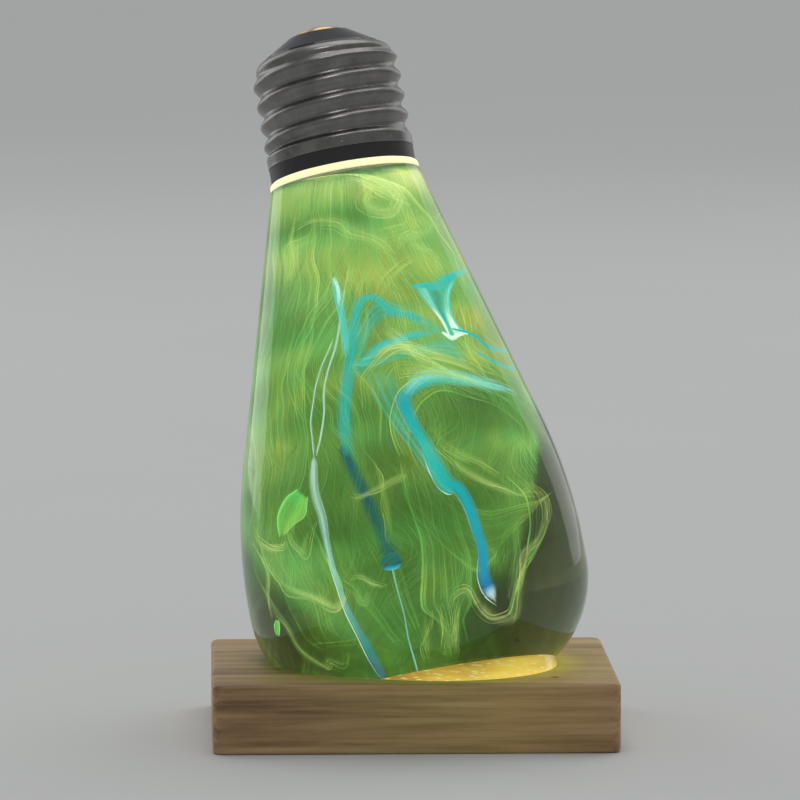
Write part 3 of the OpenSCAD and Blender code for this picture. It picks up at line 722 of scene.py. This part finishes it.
# The teal streaks: radius, tone, and points
TEAL_STREAKS = {
    "trunk": (0.85, 0.45, [(-2, -12, 24.5), (-3.5, -12.5, 31), (-5, -13.5, 36.5), (-6.5, -14, 42),
        (-7.5, -14.5, 47.5), (-8, -15.5, 53)]),
    "trunk_top": (0.5, 0.62, [(-5, -12, 19.5), (-5, -13, 24), (-5, -14.5, 29.5), (-5.5, -15.5, 35)]),
    "trunk_light": (0.28, 0.9, [(-5.2, -12.5, 20), (-4.8, -13, 22.5), (-5.1, -13.3, 25.5)]),
    "arch": (0.6, 0.5, [(-4.5, -13, 32.5), (-2.5, -12, 27.5), (-1, -12, 25), (1, -12, 25.5), (2.5, -12.5, 28),
        (5.5, -12, 29.5), (8.5, -11.5, 31)]),
    "hook_line": (0.9, 0.8, [(20, -6, 45.5), (14, -11, 43), (9, -12.5, 41), (5, -13.5, 41),
        (2.2, -14.5, 43.5)]),
    "branch": (0.7, 0.55, [(-5, -14.5, 37), (-2.5, -14.5, 36), (0, -14.5, 34), (3, -14, 33.5), (5.5, -13.5, 33),
        (9.5, -12.5, 33)]),
}

# Routes of the streaks, as in the CAD: (across, depth, s, radius)
HOOK = [(14, -11, 44, 0.4), (9, -12, 42, 0.8), (5, -13, 42, 1.0), (2.2, -14, 44, 1.05), (2.7, -15, 48.5, 0.9),
        (4.5, -16, 54, 0.9), (6, -16, 59, 0.95), (8, -16, 61.5, 0.9), (9, -16, 66.5, 0.8),
        (9.5, -16, 71.5, 0.8), (9.1, -16, 75.5, 0.9), (10.2, -15, 79.3, 0.9)]
HOOK_LOBE = [(3.5, -15.5, 51, 0.5), (4.2, -16, 55.5, 0.8), (5.2, -16, 59.5, 0.9), (6.6, -16, 61.6, 0.5)]
SIDE_THREADS = [[(-3.5, -11, 22, 0.12), (-5.5, -12, 30, 0.15), (-8.8, -12, 38.5, 0.15),
                 (-10.6, -13, 46.5, 0.15), (-12.3, -13, 51, 0.2)],
                [(-6.6, -12, 31, 0.12), (-9.9, -12, 37.5, 0.15), (-12.2, -13, 44, 0.15), (-12.7, -13, 51, 0.2)]]
SIDE = [(-12.5, -13, 50.5, 0.35), (-13.3, -13, 56, 0.6), (-13, -14, 61.5, 0.6), (-13, -15, 68.5, 0.4),
        (-12, -15, 76, 0.45), (-10, -13.5, 81.5, 0.7), (-7.8, -9, 86.5, 0.7)]
BEAD = [(-3.5, -9.5, 70.5, 0.2), (-3, -9, 76.5, 0.16), (-3, -8.5, 80, 0.16), (-2.5, -6, 84, 0.2)]
BEAD_TAIL = [(-7.4, -9, 50, 0.5), (-6.4, -9, 54.5, 0.8), (-5, -9, 60.5, 0.8), (-4, -9.5, 66, 0.8),
             (-3.5, -9.5, 69.5, 1.1)]
RIGHT_THREADS = [[(11.5, -12, 32.5, 0.4), (15, -10, 34, 0.5), (17.5, -9, 36.5, 0.5), (21, -2, 37, 0.4)],
                 [(15, -12, 37, 0.3), (18, -9.5, 39.5, 0.4), (21.5, -4, 40.5, 0.3)]]
FLECK = ([(-21.2, -13.5, 63), (-21.4, -14.5, 59.5), (-19.6, -15.6, 56.8), (-17.2, -16.4, 55.8)],
         [(-20.2, -14, 62.9), (-18.2, -15, 61.6), (-16.3, -16, 60.6), (-15.4, -16.4, 57.6)])
SMALL_FLECK = ([(-23.6, -9.6, 76), (-24.4, -9.2, 77), (-24.4, -9, 78.4)],
               [(-23, -9.8, 76.2), (-23.2, -9.6, 77.4), (-23.8, -9.2, 78.6)])
BEAD_AT, BEAD_R = (-3.4, -9.5, 70.5), 1.45
# The funnel: rails down its left side, its middle and its right side, and the routes of its rim and its foot
FUNNEL = [[(6.5, -11, 24), (7.6, -11, 26.3), (8.8, -10.7, 28.6), (9.8, -10.5, 31), (10.4, -10.5, 33.6)],
          [(10.5, -8.5, 24.2), (10.4, -9, 26.5), (10.4, -9.6, 29), (10.9, -10, 31.4), (11.6, -9.8, 34.3)],
          [(13.5, -6.5, 23.2), (12, -8, 26), (11.7, -9, 29), (12, -9.6, 31.4), (13.4, -9, 33.6)]]
FUNNEL_RIM = [(6.3, -11.2, 23.8, 0.35), (8.5, -10.5, 23.9, 0.6), (10.3, -8.8, 24.4, 1.2),
              (12, -7.5, 23.5, 1.0), (14, -6, 22.4, 0.5), (17.3, -3.2, 21, 0.3)]
FUNNEL_FOOT = [(9.6, -10.6, 33, 0.2), (11, -10.3, 34.3, 0.5), (12.2, -9.8, 33.8, 0.4), (14, -9, 33.6, 0.2)]

# The skins of a plume: share of its radius, and opacity
SKINS = [(0.3, 0.45), (0.5, 0.34), (0.7, 0.24), (0.88, 0.16), (1.05, 0.10), (1.25, 0.06)]

# Stops of the inks' colours, from thin or deep ink to the brightest
GREENS = [(0.0, (0.014, 0.020, 0.007)), (0.25, (0.06, 0.19, 0.03)), (0.5, (0.15, 0.41, 0.11)),
          (0.72, (0.35, 0.52, 0.13)), (1.0, (0.72, 0.84, 0.36))]
TEALS = [(0.0, (0.01, 0.12, 0.12)), (0.35, (0.01, 0.30, 0.27)), (0.6, (0.02, 0.46, 0.46)),
         (0.85, (0.20, 0.66, 0.64)), (1.0, (0.75, 0.95, 0.90))]
HOOK_BLUES = [(0.0, (0.85, 0.95, 1.0)), (0.08, (0.45, 0.75, 1.0)), (0.16, (0.01, 0.20, 0.55)),
              (0.45, (0.0, 0.33, 0.50)), (0.8, (0.0, 0.42, 0.46)), (1.0, (0.10, 0.52, 0.45))]
PALE_BLUES = [(0.0, (0.14, 0.22, 0.62)), (0.25, (0.03, 0.27, 0.40)), (0.55, (0.25, 0.60, 0.66)),
              (1.0, (0.62, 0.88, 0.80))]
DEEP_BLUES = [(0.0, (0.06, 0.50, 0.95)), (0.18, (0.01, 0.30, 0.58)), (0.32, (0.0, 0.09, 0.16)),
              (1.0, (0.0, 0.15, 0.16))]
BRIGHT_GREENS = [(0.0, (0.03, 0.30, 0.05)), (0.6, (0.12, 0.55, 0.10)), (1.0, (0.40, 0.80, 0.25))]

# How the resin carries its ink along, and how unevenly the ink lies and shines
slow = Flow(SEED, 40, 12)
quick = Flow(SEED + 1, 14, 5)
thickness = Waves(SEED + 2, 26, 5)
shade = Waves(SEED + 3, 30, 7)


def cloud(p):
    """From 0 to 1, how far a bulb-frame point lies inside the cloud of ink. Low on the right is clear resin.

    The cloud narrows towards the back, so that its edge looks the same through the resin at every depth.
    """
    x, s = p[..., 0], -p[..., 2]
    x = x / (1 - 0.02 * p[..., 1])
    left = np.interp(x, [-27, -22, -16, -9, 0, 30], [60, 67, 76, 84, 92, 92])
    right = np.interp(x, [-30, 1, 4, 7, 10, 13, 17, 20, 25], [92, 90, 82, 77, 77, 72, 61, 53, 47])
    return smooth((np.minimum(left, right) - s) / 5)


def tone(p):
    """From 0 to 1, where a point's ink lies between deep green and pale yellow-green."""
    x, s = p[..., 0], -p[..., 2]
    # Painted falloff of the LEDs' light: top pales the ink near the collar, where the light is strongest, and
    # low darkens it further down
    top = 0.20 * np.exp(-((s - 2) / 5) ** 2)
    right = 0.10 * np.tanh((x - 1) / 7) * smooth((60 - s) / 30)
    pocket = -0.24 * np.exp(-((x - 9) / 6) ** 2 - ((s - 48) / 4) ** 2)
    band = -0.14 * np.exp(-((x + 3) / 7) ** 2 - ((s - 10) / 2.5) ** 2)
    low = 0.07 * smooth((32 - s) / 16) - 0.16 * smooth((s - 36) / 24)
    return np.clip(0.48 + top + right + pocket + band + low + 0.19 * shade(p), 0.04, 0.98)


def attribute(mesh, name, values):
    """Gives each of the mesh's points a value that its material reads."""
    values = np.asarray(values, np.float32).ravel()
    mesh.attributes.new(name, "FLOAT", "POINT").data.foreach_set("value", values)


def sheet(name, grid, amount, tint, material, replaced=()):
    """A sheet of haze through a grid of bulb-frame points. Its flow map is in mm, so fibres run along it."""
    rows, cols = grid.shape[:2]
    quads = grid_quads(rows, cols)
    mesh = quads_mesh(name, world(grid), quads)
    wide = np.linalg.norm(grid[rows // 2, 1:] - grid[rows // 2, :-1], axis=-1).sum()
    long = np.linalg.norm(grid[1:, cols // 2] - grid[:-1, cols // 2], axis=-1).sum()
    v, u = np.meshgrid(np.linspace(0, long, rows), np.linspace(0, wide, cols), indexing="ij")
    flat = np.stack([u, v], -1).reshape(-1, 2)[quads.ravel()]
    mesh.uv_layers.new(name="flow").data.foreach_set("uv", flat.astype(np.float32).ravel())
    attribute(mesh, "amount", amount)
    attribute(mesh, "tone", tint)
    link(mesh, name, material, "lamp", replaced)


def gather(name, parts, material, replaced=()):
    """One piece out of several parts, (points, quads, {attribute: values}) each."""
    starts = np.cumsum([0] + [len(points) for points, quads, values in parts])
    quads = np.vstack([part[1] + start for part, start in zip(parts, starts)])
    mesh = quads_mesh(name, world(np.vstack([part[0] for part in parts])), quads)
    for key in parts[0][2]:
        attribute(mesh, key, np.concatenate([part[2][key] for part in parts]))
    link(mesh, name, material, "lamp", replaced)


def strands(paths, width, tint, seed):
    """Fine filaments along the paths, as a part for gather."""
    points, quads, used = filaments(paths, width, seed)
    tint = np.broadcast_to(tint, paths.shape[:2]).ravel()
    return points, quads, {"tone": tint[used]}


def folded(grid, reach, grow_from=0.35):
    """A grid carried along by the resin's flow, less at its top than at its bottom."""
    grow = np.linspace(grow_from, 1, len(grid))[:, None, None]
    grid = drift(grid, slow, reach, 10, grow)
    return drift(grid, quick, reach * 0.22, 4, grow)


def faded(rows, cols, sides, ends, rim=0.0):
    """Amount of ink that fades towards a sheet's edges, fuller along its two sides if asked."""
    v, u = np.meshgrid(np.linspace(0, 1, rows), np.linspace(0, 1, cols), indexing="ij")
    near = np.minimum(u, 1 - u)
    return smooth(near / sides) * smooth(np.minimum(v, 1 - v) / ends) * (1 + rim * np.exp(-(near / 0.1) ** 2))


def bead_gap(p):
    """Where the haze in front of the drop of blue thins, so that the drop shows."""
    x, y, s = BEAD_AT
    near = np.exp(-((p[..., 0] - x) / 3.5) ** 2 - ((-p[..., 2] - s) / 3.5) ** 2)
    return 0.85 * near * (p[..., 1] < y)


def haze_layer(depth):
    """A layer across the whole bulb at one depth, before it drifts, with its amount of ink."""
    rows, cols, top, foot = 110, 120, 0.9, 84
    s = np.linspace(top, foot, rows)[:, None]
    half = np.sqrt(np.maximum(4, (WALL_SHARE * bulb_radius(s)) ** 2 - depth**2))
    x = np.linspace(-1, 1, cols)[None] * half
    y = depth + 1.5 * np.sin(x / 5 + depth) * np.ones_like(s)
    grid = np.stack([x, y, -s * np.ones_like(x)], -1)
    fits = smooth((bulb_radius(s) - abs(depth)) / 3 + 0.2)
    return grid, fits * faded(rows, cols, sides=0.02, ends=0.02)


def fibres(grid, amount, count, seed, rims=0.0):
    """Paths down a sheet, with the amount of ink along each."""
    return along(grid, count, seed, rims), along(amount[..., None], count, seed, rims)[..., 0]


def green_ink():
    """The haze, its curtains and wisps, and pale sheets at the bulb's two sides that paint its bright rims as a
    highlight.
    """
    haze = smoke("ink_haze", GREENS, glow=1.5, body=0.34, threads=0.18, lines=0.09)
    veil = smoke("ink_veil", GREENS, glow=1.7, body=0.14, threads=0.34)
    threads = thread_ink("ink_green", GREENS, glow=1.5)
    fine = []
    for i, (depth, share) in enumerate(LAYERS):
        start, fits = haze_layer(depth)
        grid = stay_inside(folded(start, reach=6, grow_from=0.1), HAZE_SHARE)
        inside = cloud(grid) * fits
        amount = share * inside * np.clip(0.78 + 0.5 * thickness(grid), 0.15, 1.2) * (1 - bead_gap(grid))
        # Painted shade: outside the cloud each layer keeps a thin near-black murk that darkens the clear resin
        sheet(f"ink_haze_{i + 1}", grid, amount + 0.5 * (1 - inside), tone(grid) * inside, haze)
        paths, thick = fibres(grid, inside, count=80, seed=40 + i)
        wide = 0.03 * np.clip(thick, 0, 1) ** 0.7 * (thick > 0.3)
        fine.append(strands(paths, wide, tone(paths) + 0.05, seed=i))
    gather("ink_haze_threads", fine, threads)
    fine = []
    for i, (name, rails) in enumerate(CURTAINS.items()):
        rows, cols = 110, 64
        grid = stay_inside(folded(between(rails, rows, cols), reach=2.2), CURTAIN_SHARE)
        amount = faded(rows, cols, sides=0.05, ends=0.12, rim=1.0)
        amount = amount * np.clip(0.75 + 0.45 * thickness(grid), 0.25, 1)
        sheet(f"ink_veil_{name}", grid, amount, tone(grid) + 0.10, veil,
              () if i else ["ink_veils"])
        paths, thick = fibres(grid, amount, count=60, seed=80 + i, rims=0.5)
        wide = 0.042 * np.clip(thick, 0, 1.3) ** 0.7 * (thick > 0.12)
        fine.append(strands(paths, wide, tone(paths) + 0.22, seed=60 + i))
        # A hem of lines runs across the curtain near its foot
        hem = along(grid[-16:-5].transpose(1, 0, 2), count=7, seed=i)
        fine.append(strands(hem, 0.03, tone(hem) + 0.2, seed=120 + i))
    gather("ink_veil_threads", fine, threads)
    soft = soft_ink("ink_wisp", GREENS, glow=1.7)
    bodies, fine = [], []
    for i, (radius, tint, points) in enumerate(WISPS.values()):
        route = [(*point, radius) for point in points]
        bodies += plume(route, tint - 0.06, strength=0.22, size=2.2, sides=12, taper=0.4, skins=SKINS[1::2])
        fine += streak(route, tint, count=9, width=0.03, seed=200 + i, loose=1.9, wiggle=0.6, fade=0.7)
    gather("ink_wisps", bodies, soft)
    gather("ink_wisp_threads", fine, threads)
    # Painted highlight: pale glowing sheets against the wall on the left and the right stand in for the bright
    # rims of the bulb
    rims = smoke("ink_painted_rim", GREENS, glow=1.3, body=0.5, threads=0.1, lines=0.03)
    for i, (low, high, a0, a1) in enumerate([(3, 66, 176, 196), (12, 88, 4, -11)]):
        rows, cols = 80, 24
        s = np.linspace(low, high, rows)[:, None]
        a = np.radians(np.linspace(a0, a1, cols))[None]
        r = WALL_SHARE * bulb_radius(s)
        grid = stay_inside(np.stack([r * np.cos(a), r * np.sin(a), -s + 0 * a], -1), PAINTED_RIM_SHARE)
        amount = faded(rows, cols, sides=0.4, ends=0.2) * np.clip(0.8 + 0.4 * thickness(grid), 0.2, 1)
        sheet(f"ink_painted_rim_{i + 1}", grid, amount, tone(grid) * 0.4 + 0.42, rims)


def teal_ink():
    """The trunk, the arch and the other teal folds and streaks. Returns their thread material."""
    veil = smoke("ink_teal_veil", TEALS, glow=1.5, body=0.42, threads=0.5, warmed=0.0)
    threads = thread_ink("ink_teal", TEALS, glow=1.4)
    soft = soft_ink("ink_teal_soft", TEALS, glow=1.5)
    fine, bodies = [], []
    for i, (name, (share, *rails)) in enumerate(CYAN_SHEETS.items()):
        rows, cols = 90, 40
        grid = stay_inside(folded(between(rails, rows, cols), reach=0.8), CURTAIN_SHARE)
        amount = share * faded(rows, cols, sides=0.25, ends=0.12)
        sheet(f"ink_teal_{name}", grid, amount, 0.5 + 0.1 * shade(grid), veil)
        paths, thick = fibres(grid, amount, count=60, seed=20 + i)
        wide = 0.05 * thick * (thick > 0.1)
        fine.append(strands(paths, wide, 0.55 + 0.15 * shade(paths), seed=90 + i))
    for i, (radius, tint, points) in enumerate(TEAL_STREAKS.values()):
        route = [(*point, radius) for point in points]
        bodies += plume(route, tint, strength=0.55, size=1.35, taper=0.2)
        fine += streak(route, tint + 0.12, count=18, width=0.035, seed=300 + i, loose=1.2, fade=0.4)
    gather("ink_teal_plumes", bodies, soft)
    gather("ink_teal_threads", fine, threads, ["ink_trunk_streak"])
    return threads


def swept(route, wiggle=0.0):
    """The middle line of a route, its radius at each step, and how far along each step lies."""
    path = bend([(x, y, -s, r) for x, y, s, r in route], STEPS)
    centre = drift(path[:, :3], quick, wiggle, 4)
    return stay_inside(centre, CORE_SHARE), path[:, 3], np.linspace(0, 1, STEPS)


def streak(route, tint, count, width, seed, loose=1.0, wiggle=0.15, fade=0.0, core=0.0, rim=None,
           rim_from=0.0):
    """Fine filaments along a route, drawn together at its ends, as parts for gather.

    The core is the share of the radius filled by a solid middle. The rim is the tone of a pale line down one
    side, which starts at rim_from of the way.
    """
    rng = np.random.default_rng(seed)
    flat, sides, rim_sides = 0.5, 16, 8
    centre, radius, v = swept(route, wiggle)
    across, up = crossways(centre)
    ends = smooth(np.minimum(v, 1 - v) / 0.06) ** 0.5
    turn = rng.uniform(0, 2 * math.pi, (count, 1)) + v * rng.uniform(0.5, 2.0, (count, 1))
    out = loose * rng.uniform(0.1, 1, (count, 1)) ** 0.7 * (radius * (0.25 + 0.75 * ends))[None]
    paths = (centre[None] + (out * np.cos(turn))[..., None] * across
             + flat * (out * np.sin(turn))[..., None] * up)
    tint = np.broadcast_to(tint, (STEPS,))
    beat = np.sin(v * rng.uniform(5, 14, (count, 1)) + rng.uniform(0, 6.3, (count, 1)))
    shown = smooth(0.5 + fade * beat + (1 - fade))
    wide = width * rng.uniform(0.5, 1.3, (count, 1)) * shown * ends
    wide = np.where(wide > 0.15 * width, wide, 0)
    parts = [strands(stay_inside(paths, FIBRE_SHARE), wide, tint, seed + 2)]
    if core:
        points, quads = tube(centre, core * radius * (0.2 + 0.8 * ends), sides, squash=flat)
        parts.append((points, quads, {"tone": np.repeat(tint, sides)}))
    if rim is not None:
        line = centre + loose * 0.9 * (radius * ends)[:, None] * across
        thick = 0.008 + 0.065 * smooth(np.sin(v * 9 + seed) * 0.5 + 0.7) * ends * smooth((v - rim_from) / 0.15)
        points, quads = tube(line, thick, rim_sides)
        parts.append((points, quads, {"tone": np.full(STEPS * rim_sides, rim)}))
    return parts


def plume(route, tint, strength=1.0, size=1.0, sides=20, taper=0.05, skins=SKINS):
    """A streak with soft sides: translucent skins, one inside another, as parts for gather."""
    centre, radius, v = swept(route)
    ends = smooth(np.minimum(v, 1 - v) / taper + 0.02)
    tint = np.broadcast_to(tint, (STEPS,))
    parts = []
    for share, opacity in skins:
        points, quads = tube(centre, size * share * radius * (0.15 + 0.85 * ends), sides, squash=0.6)
        amount = np.repeat(strength * opacity * ends, sides)
        parts.append((points, quads, {"amount": amount, "tone": np.repeat(tint, sides)}))
    return parts


def bead(material):
    """The drop of ink, a little drawn out along its fall and not quite round. Its tone rises from its foot."""
    bm = bmesh.new()
    bmesh.ops.create_icosphere(bm, subdivisions=5, radius=1)
    points = np.array([v.co for v in bm.verts])
    x, y, s = BEAD_AT
    lump = 1 + 0.072 * np.sin(points @ np.array([2.1, 1.3, -1.7]) + x)
    place = world(points * lump[:, None] * [BEAD_R, BEAD_R, BEAD_R * 1.05] + [x, y, -s])
    for v, p in zip(bm.verts, place):
        v.co = p
    for f in bm.faces:
        f.smooth = True
    mesh = bpy.data.meshes.new("ink_bead_drop")
    bm.to_mesh(mesh)
    bm.free()
    attribute(mesh, "tone", 0.5 + 0.5 * points[:, 2])
    link(mesh, "ink_bead_drop", material, "lamp", ["ink_bead"])


def funnel(material):
    """The funnel: a fold of ink spread wide at its top, drawn down to a white foot."""
    rows, cols = 70, 50
    a, b, c = (down(rail, rows) for rail in FUNNEL)
    u = np.linspace(0, 1, cols)[None, :, None]
    grid = (1 - u) ** 2 * a[:, None] + 2 * u * (1 - u) * (2 * b - (a + c) / 2)[:, None] + u**2 * c[:, None]
    grid = stay_inside(grid, FUNNEL_SHARE)
    v = np.linspace(0, 1, rows)[:, None]
    u = u[..., 0]
    tint = 0.62 + 0.33 * smooth((v - 0.35) / 0.5) + 0.2 * np.sin(u * 9 + v * 2)
    tint = tint - 0.25 * np.exp(-((u - 0.35) / 0.08) ** 2)
    tint = np.clip(tint - 0.1 * smooth(1 - v / 0.2), 0, 1) + 0 * grid[..., 0]
    body = smoke("ink_funnel_veil", TEALS, glow=1.4, body=1.0, threads=0.5, warmed=0.0)
    amount = faded(rows, cols, sides=0.08, ends=0.05)
    sheet("ink_funnel_fold", grid, amount, tint, body, ["ink_funnel"])
    paths, tones = fibres(grid, tint, count=150, seed=5)
    parts = [strands(paths, 0.07, tones, seed=5)]
    parts += streak(FUNNEL_RIM, 0.55, count=40, width=0.07, seed=6, core=0.6)
    parts += streak(FUNNEL_FOOT, 1.0, count=24, width=0.06, seed=7, core=0.7)
    gather("ink_funnel_threads", parts, material)


def hook_ink():
    """The blue hook and the lobe in its bend, each with a pale line down its side."""
    hook = thread_ink("ink_hook", HOOK_BLUES, glow=1.35)
    soft = soft_ink("ink_hook_soft", HOOK_BLUES, glow=1.5)
    v = np.linspace(0, 1, STEPS)
    fall = np.interp(v, [0, 0.15, 0.3, 0.45, 0.6, 0.9, 0.965, 1], [1, 0.85, 0.5, 0.9, 0.6, 0.3, 0.07, 0])
    strength = np.interp(v, [0, 0.12, 0.3, 0.45, 0.62, 1], [0.2, 0.45, 0.8, 0.45, 0.75, 0.9])
    bodies = plume(HOOK, fall, strength) + plume(HOOK_LOBE, 0.85, strength=0.5)
    gather("ink_hook_plume", bodies, soft)
    parts = streak(HOOK, fall, count=44, width=0.04, seed=400, loose=1.15, fade=0.5, rim=0.0, rim_from=0.62)
    parts += streak(HOOK_LOBE, 0.8, count=18, width=0.04, seed=401, fade=0.3, rim=0.02, rim_from=0.3)
    gather("ink_hook_band", parts, hook, ["ink_hook_streak"])


def side_ink():
    """The pale streak on the left and the threads that lead into it. Returns their thread material."""
    side = thread_ink("ink_side", PALE_BLUES, glow=1.3)
    soft = soft_ink("ink_side_soft", PALE_BLUES, glow=1.45)
    fall = np.interp(np.linspace(0, 1, STEPS), [0, 0.5, 0.7, 1], [0.9, 0.7, 0.4, 0.1])
    gather("ink_side_plume", plume(SIDE, fall, strength=0.34, size=1.25), soft)
    parts = streak(SIDE, fall, count=15, width=0.032, seed=410, loose=1.1, fade=0.3, rim=1.0, rim_from=0.45)
    for i, route in enumerate(SIDE_THREADS):
        parts += streak(route, 0.85, count=8, width=0.03, seed=411 + i, loose=1.8, core=0.35)
    gather("ink_side_band", parts, side, ["ink_side_streak"])
    return side


def bead_ink(pale):
    """The drop of blue, the tail above it and the pale thread that runs on below it."""
    soft = soft_ink("ink_bead_soft", DEEP_BLUES, glow=1.4)
    gather("ink_bead_tail", plume(BEAD_TAIL, 0.45, size=1.2), soft)
    line = streak(BEAD, 0.55, count=10, width=0.04, seed=420, core=0.6)
    gather("ink_bead_line", line, pale, ["ink_bead_thread"])
    bead(thread_ink("ink_bead_blue", DEEP_BLUES, glow=1.6))


def right_fibres(material):
    """The two bundles of fibres that reach out to the right."""
    parts = []
    for i, route in enumerate(RIGHT_THREADS):
        parts += streak(route, 0.5, count=24, width=0.05, seed=430 + i, loose=1.3, core=0.45)
    gather("ink_right_fibres", parts, material, ["ink_right_threads"])


def flecks():
    """The two bright green flecks low on the left."""
    leaf = smoke("ink_fleck_veil", BRIGHT_GREENS, glow=1.5, body=0.9, threads=0.2)
    lines = thread_ink("ink_bright_green", BRIGHT_GREENS, glow=1.4)
    rows, cols = 30, 20
    parts = []
    for i, rails in enumerate((FLECK, SMALL_FLECK)):
        grid = between(rails, rows, cols)
        amount = faded(rows, cols, sides=0.12, ends=0.06, rim=0.5)
        tint = np.linspace(0.35, 0.75, cols)[None] + 0 * grid[..., 0]
        sheet(f"ink_fleck_{i + 1}", grid, amount, tint, leaf)
        parts.append(strands(along(grid, count=26, seed=7 + i, rims=0.7), 0.06, 0.75, seed=7 + i))
    gather("ink_fleck_threads", parts, lines, ["ink_flecks"])


# ---------------------------------------------------------------- finishes of the carried-over CAD pieces

def finish_cad():
    """Materials of the CAD pieces that are shown as they are."""
    for nodes, material in {
        "led_board": surface("led_board_white", (0.86, 0.87, 0.83), rough=0.4, bump=0.05),
        "led_chips": lit_plastic("led_phosphor", (1.0, 0.90, 0.55), 6.0),
        "led_board_screws": surface("screw_steel", (0.56, 0.56, 0.55), rough=0.3, metal=1.0),
        "thermal_pad": surface("pad_grey", (0.42, 0.45, 0.47), rough=0.8),
        "heat_sink": surface("sink_aluminium", (0.78, 0.79, 0.80), rough=0.32, metal=1.0, stretch=(1, 1, 12)),
        "driver_housing": surface("housing_plastic", (0.022,) * 3, 0.42, vary=0.04, scale=1500.0, bump=0.1),
        "driver_board": surface("board_green", (0.03, 0.16, 0.06), rough=0.38, scale=700.0),
        "smoothing_capacitor": surface("capacitor_sleeve", (0.02, 0.03, 0.10), rough=0.3),
        "bridge_rectifier driver_chip": surface("moulded_epoxy", (0.03,) * 3, 0.6, scale=2500.0, bump=0.2),
        "filter_inductor": surface("winding_copper", (0.50, 0.18, 0.06), 0.35, metal=0.6, stretch=(1, 1, 20)),
        "fusible_resistor": surface("resistor_blue", (0.12, 0.32, 0.50), rough=0.35),
        "led_wire_red": surface("wire_red", (0.50, 0.02, 0.015), rough=0.4),
        "led_wire_black": surface("wire_black", (0.015,) * 3, rough=0.4),
        "shell_wire contact_wire": surface("tinned_wire", (0.70, 0.70, 0.68), rough=0.25, metal=1.0),
        "cap_insulator": surface("insulator_glass", (0.012, 0.012, 0.015), rough=0.12, scale=120.0),
        "centre_contact": surface("contact_brass", (0.62, 0.42, 0.16), rough=0.28, metal=1.0, vary=0.2),
        "contact_solder": surface("solder", (0.60, 0.60, 0.58), 0.33, 1.0, vary=0.2, scale=900.0, bump=0.3),
    }.items():
        for name in nodes.split():
            mesh = frame["nodes"][name].data
            mesh.materials.clear()
            mesh.materials.append(material)


# ---------------------------------------------------------------- floor, light and camera

def studio():
    """A pale floor, a soft sky, and soft boxes that leave the front of the bulb without reflections."""
    far = 9
    corners = [(-far, -far, 0), (far, -far, 0), (far, far, 0), (-far, far, 0)]
    floor = quads_mesh("floor", corners, [(0, 1, 2, 3)], rounded=False)
    floor.materials.append(surface("floor_pale", (0.62, 0.62, 0.61), rough=0.7, vary=0.01, scale=6.0))
    put("floor", floor)

    def soft_box(name, at, aim, size, watts):
        data = bpy.data.lights.new(name, "AREA")
        data.shape = "RECTANGLE"
        data.size, data.size_y = size
        data.energy = watts
        light = put(name, data)
        light.location = at
        light.visible_transmission = False
        light.rotation_euler = (Vector(aim) - Vector(at)).to_track_quat("-Z", "Y").to_euler()

    sky = bpy.data.lights.new("sky_soft", "SUN")
    sky.energy = 0.75
    sky.angle = math.radians(50)
    put("sky_soft", sky).rotation_euler = (math.radians(-22), math.radians(8), 0)
    soft_box("left_soft", (-0.85, 0.95, 0.5), (0, 0, 0.06), (0.7, 1.2), 2.4)
    soft_box("right_soft", (0.75, 1.0, 0.5), (0, 0, 0.06), (0.7, 1.2), 1.4)
    soft_box("cap_soft", (-0.15, -0.33, 1.25), (0, 0, 0.1), (0.35, 0.35), 1.5)
    scene = bpy.context.scene
    scene.world = bpy.data.worlds.new("studio")
    scene.world.use_nodes = True
    back = scene.world.node_tree.nodes["Background"]
    back.inputs["Color"].default_value = (0.98, 1.0, 1.03, 1)
    back.inputs["Strength"].default_value = 0.34
    scene.view_settings.view_transform = "Standard"
    scene.cycles.transparent_max_bounces = 96


def camera():
    """A long lens a metre away, a little above the lamp and a little to its left."""
    pitch, swing, distance = math.radians(5.88), math.radians(1.92), 1.118
    aim = Vector((-0.002, 0, 0.058))
    toward = Vector((math.sin(swing) * math.cos(pitch), math.cos(swing) * math.cos(pitch), -math.sin(pitch)))
    data = bpy.data.cameras.new("camera")
    data.lens = 288
    data.sensor_width = 36
    data.clip_end = 60
    eye = put("camera", data)
    eye.location = aim - toward * distance
    eye.rotation_euler = (math.pi / 2 - pitch, 0, -swing)
    bpy.context.scene.camera = eye


camera()
resin_bulb()
light_collar()
screw_shell()
wooden_plinth()
green_ink()
teal = teal_ink()
hook_ink()
bead_ink(side_ink())
funnel(teal)
right_fibres(teal)
flecks()
finish_cad()
studio()
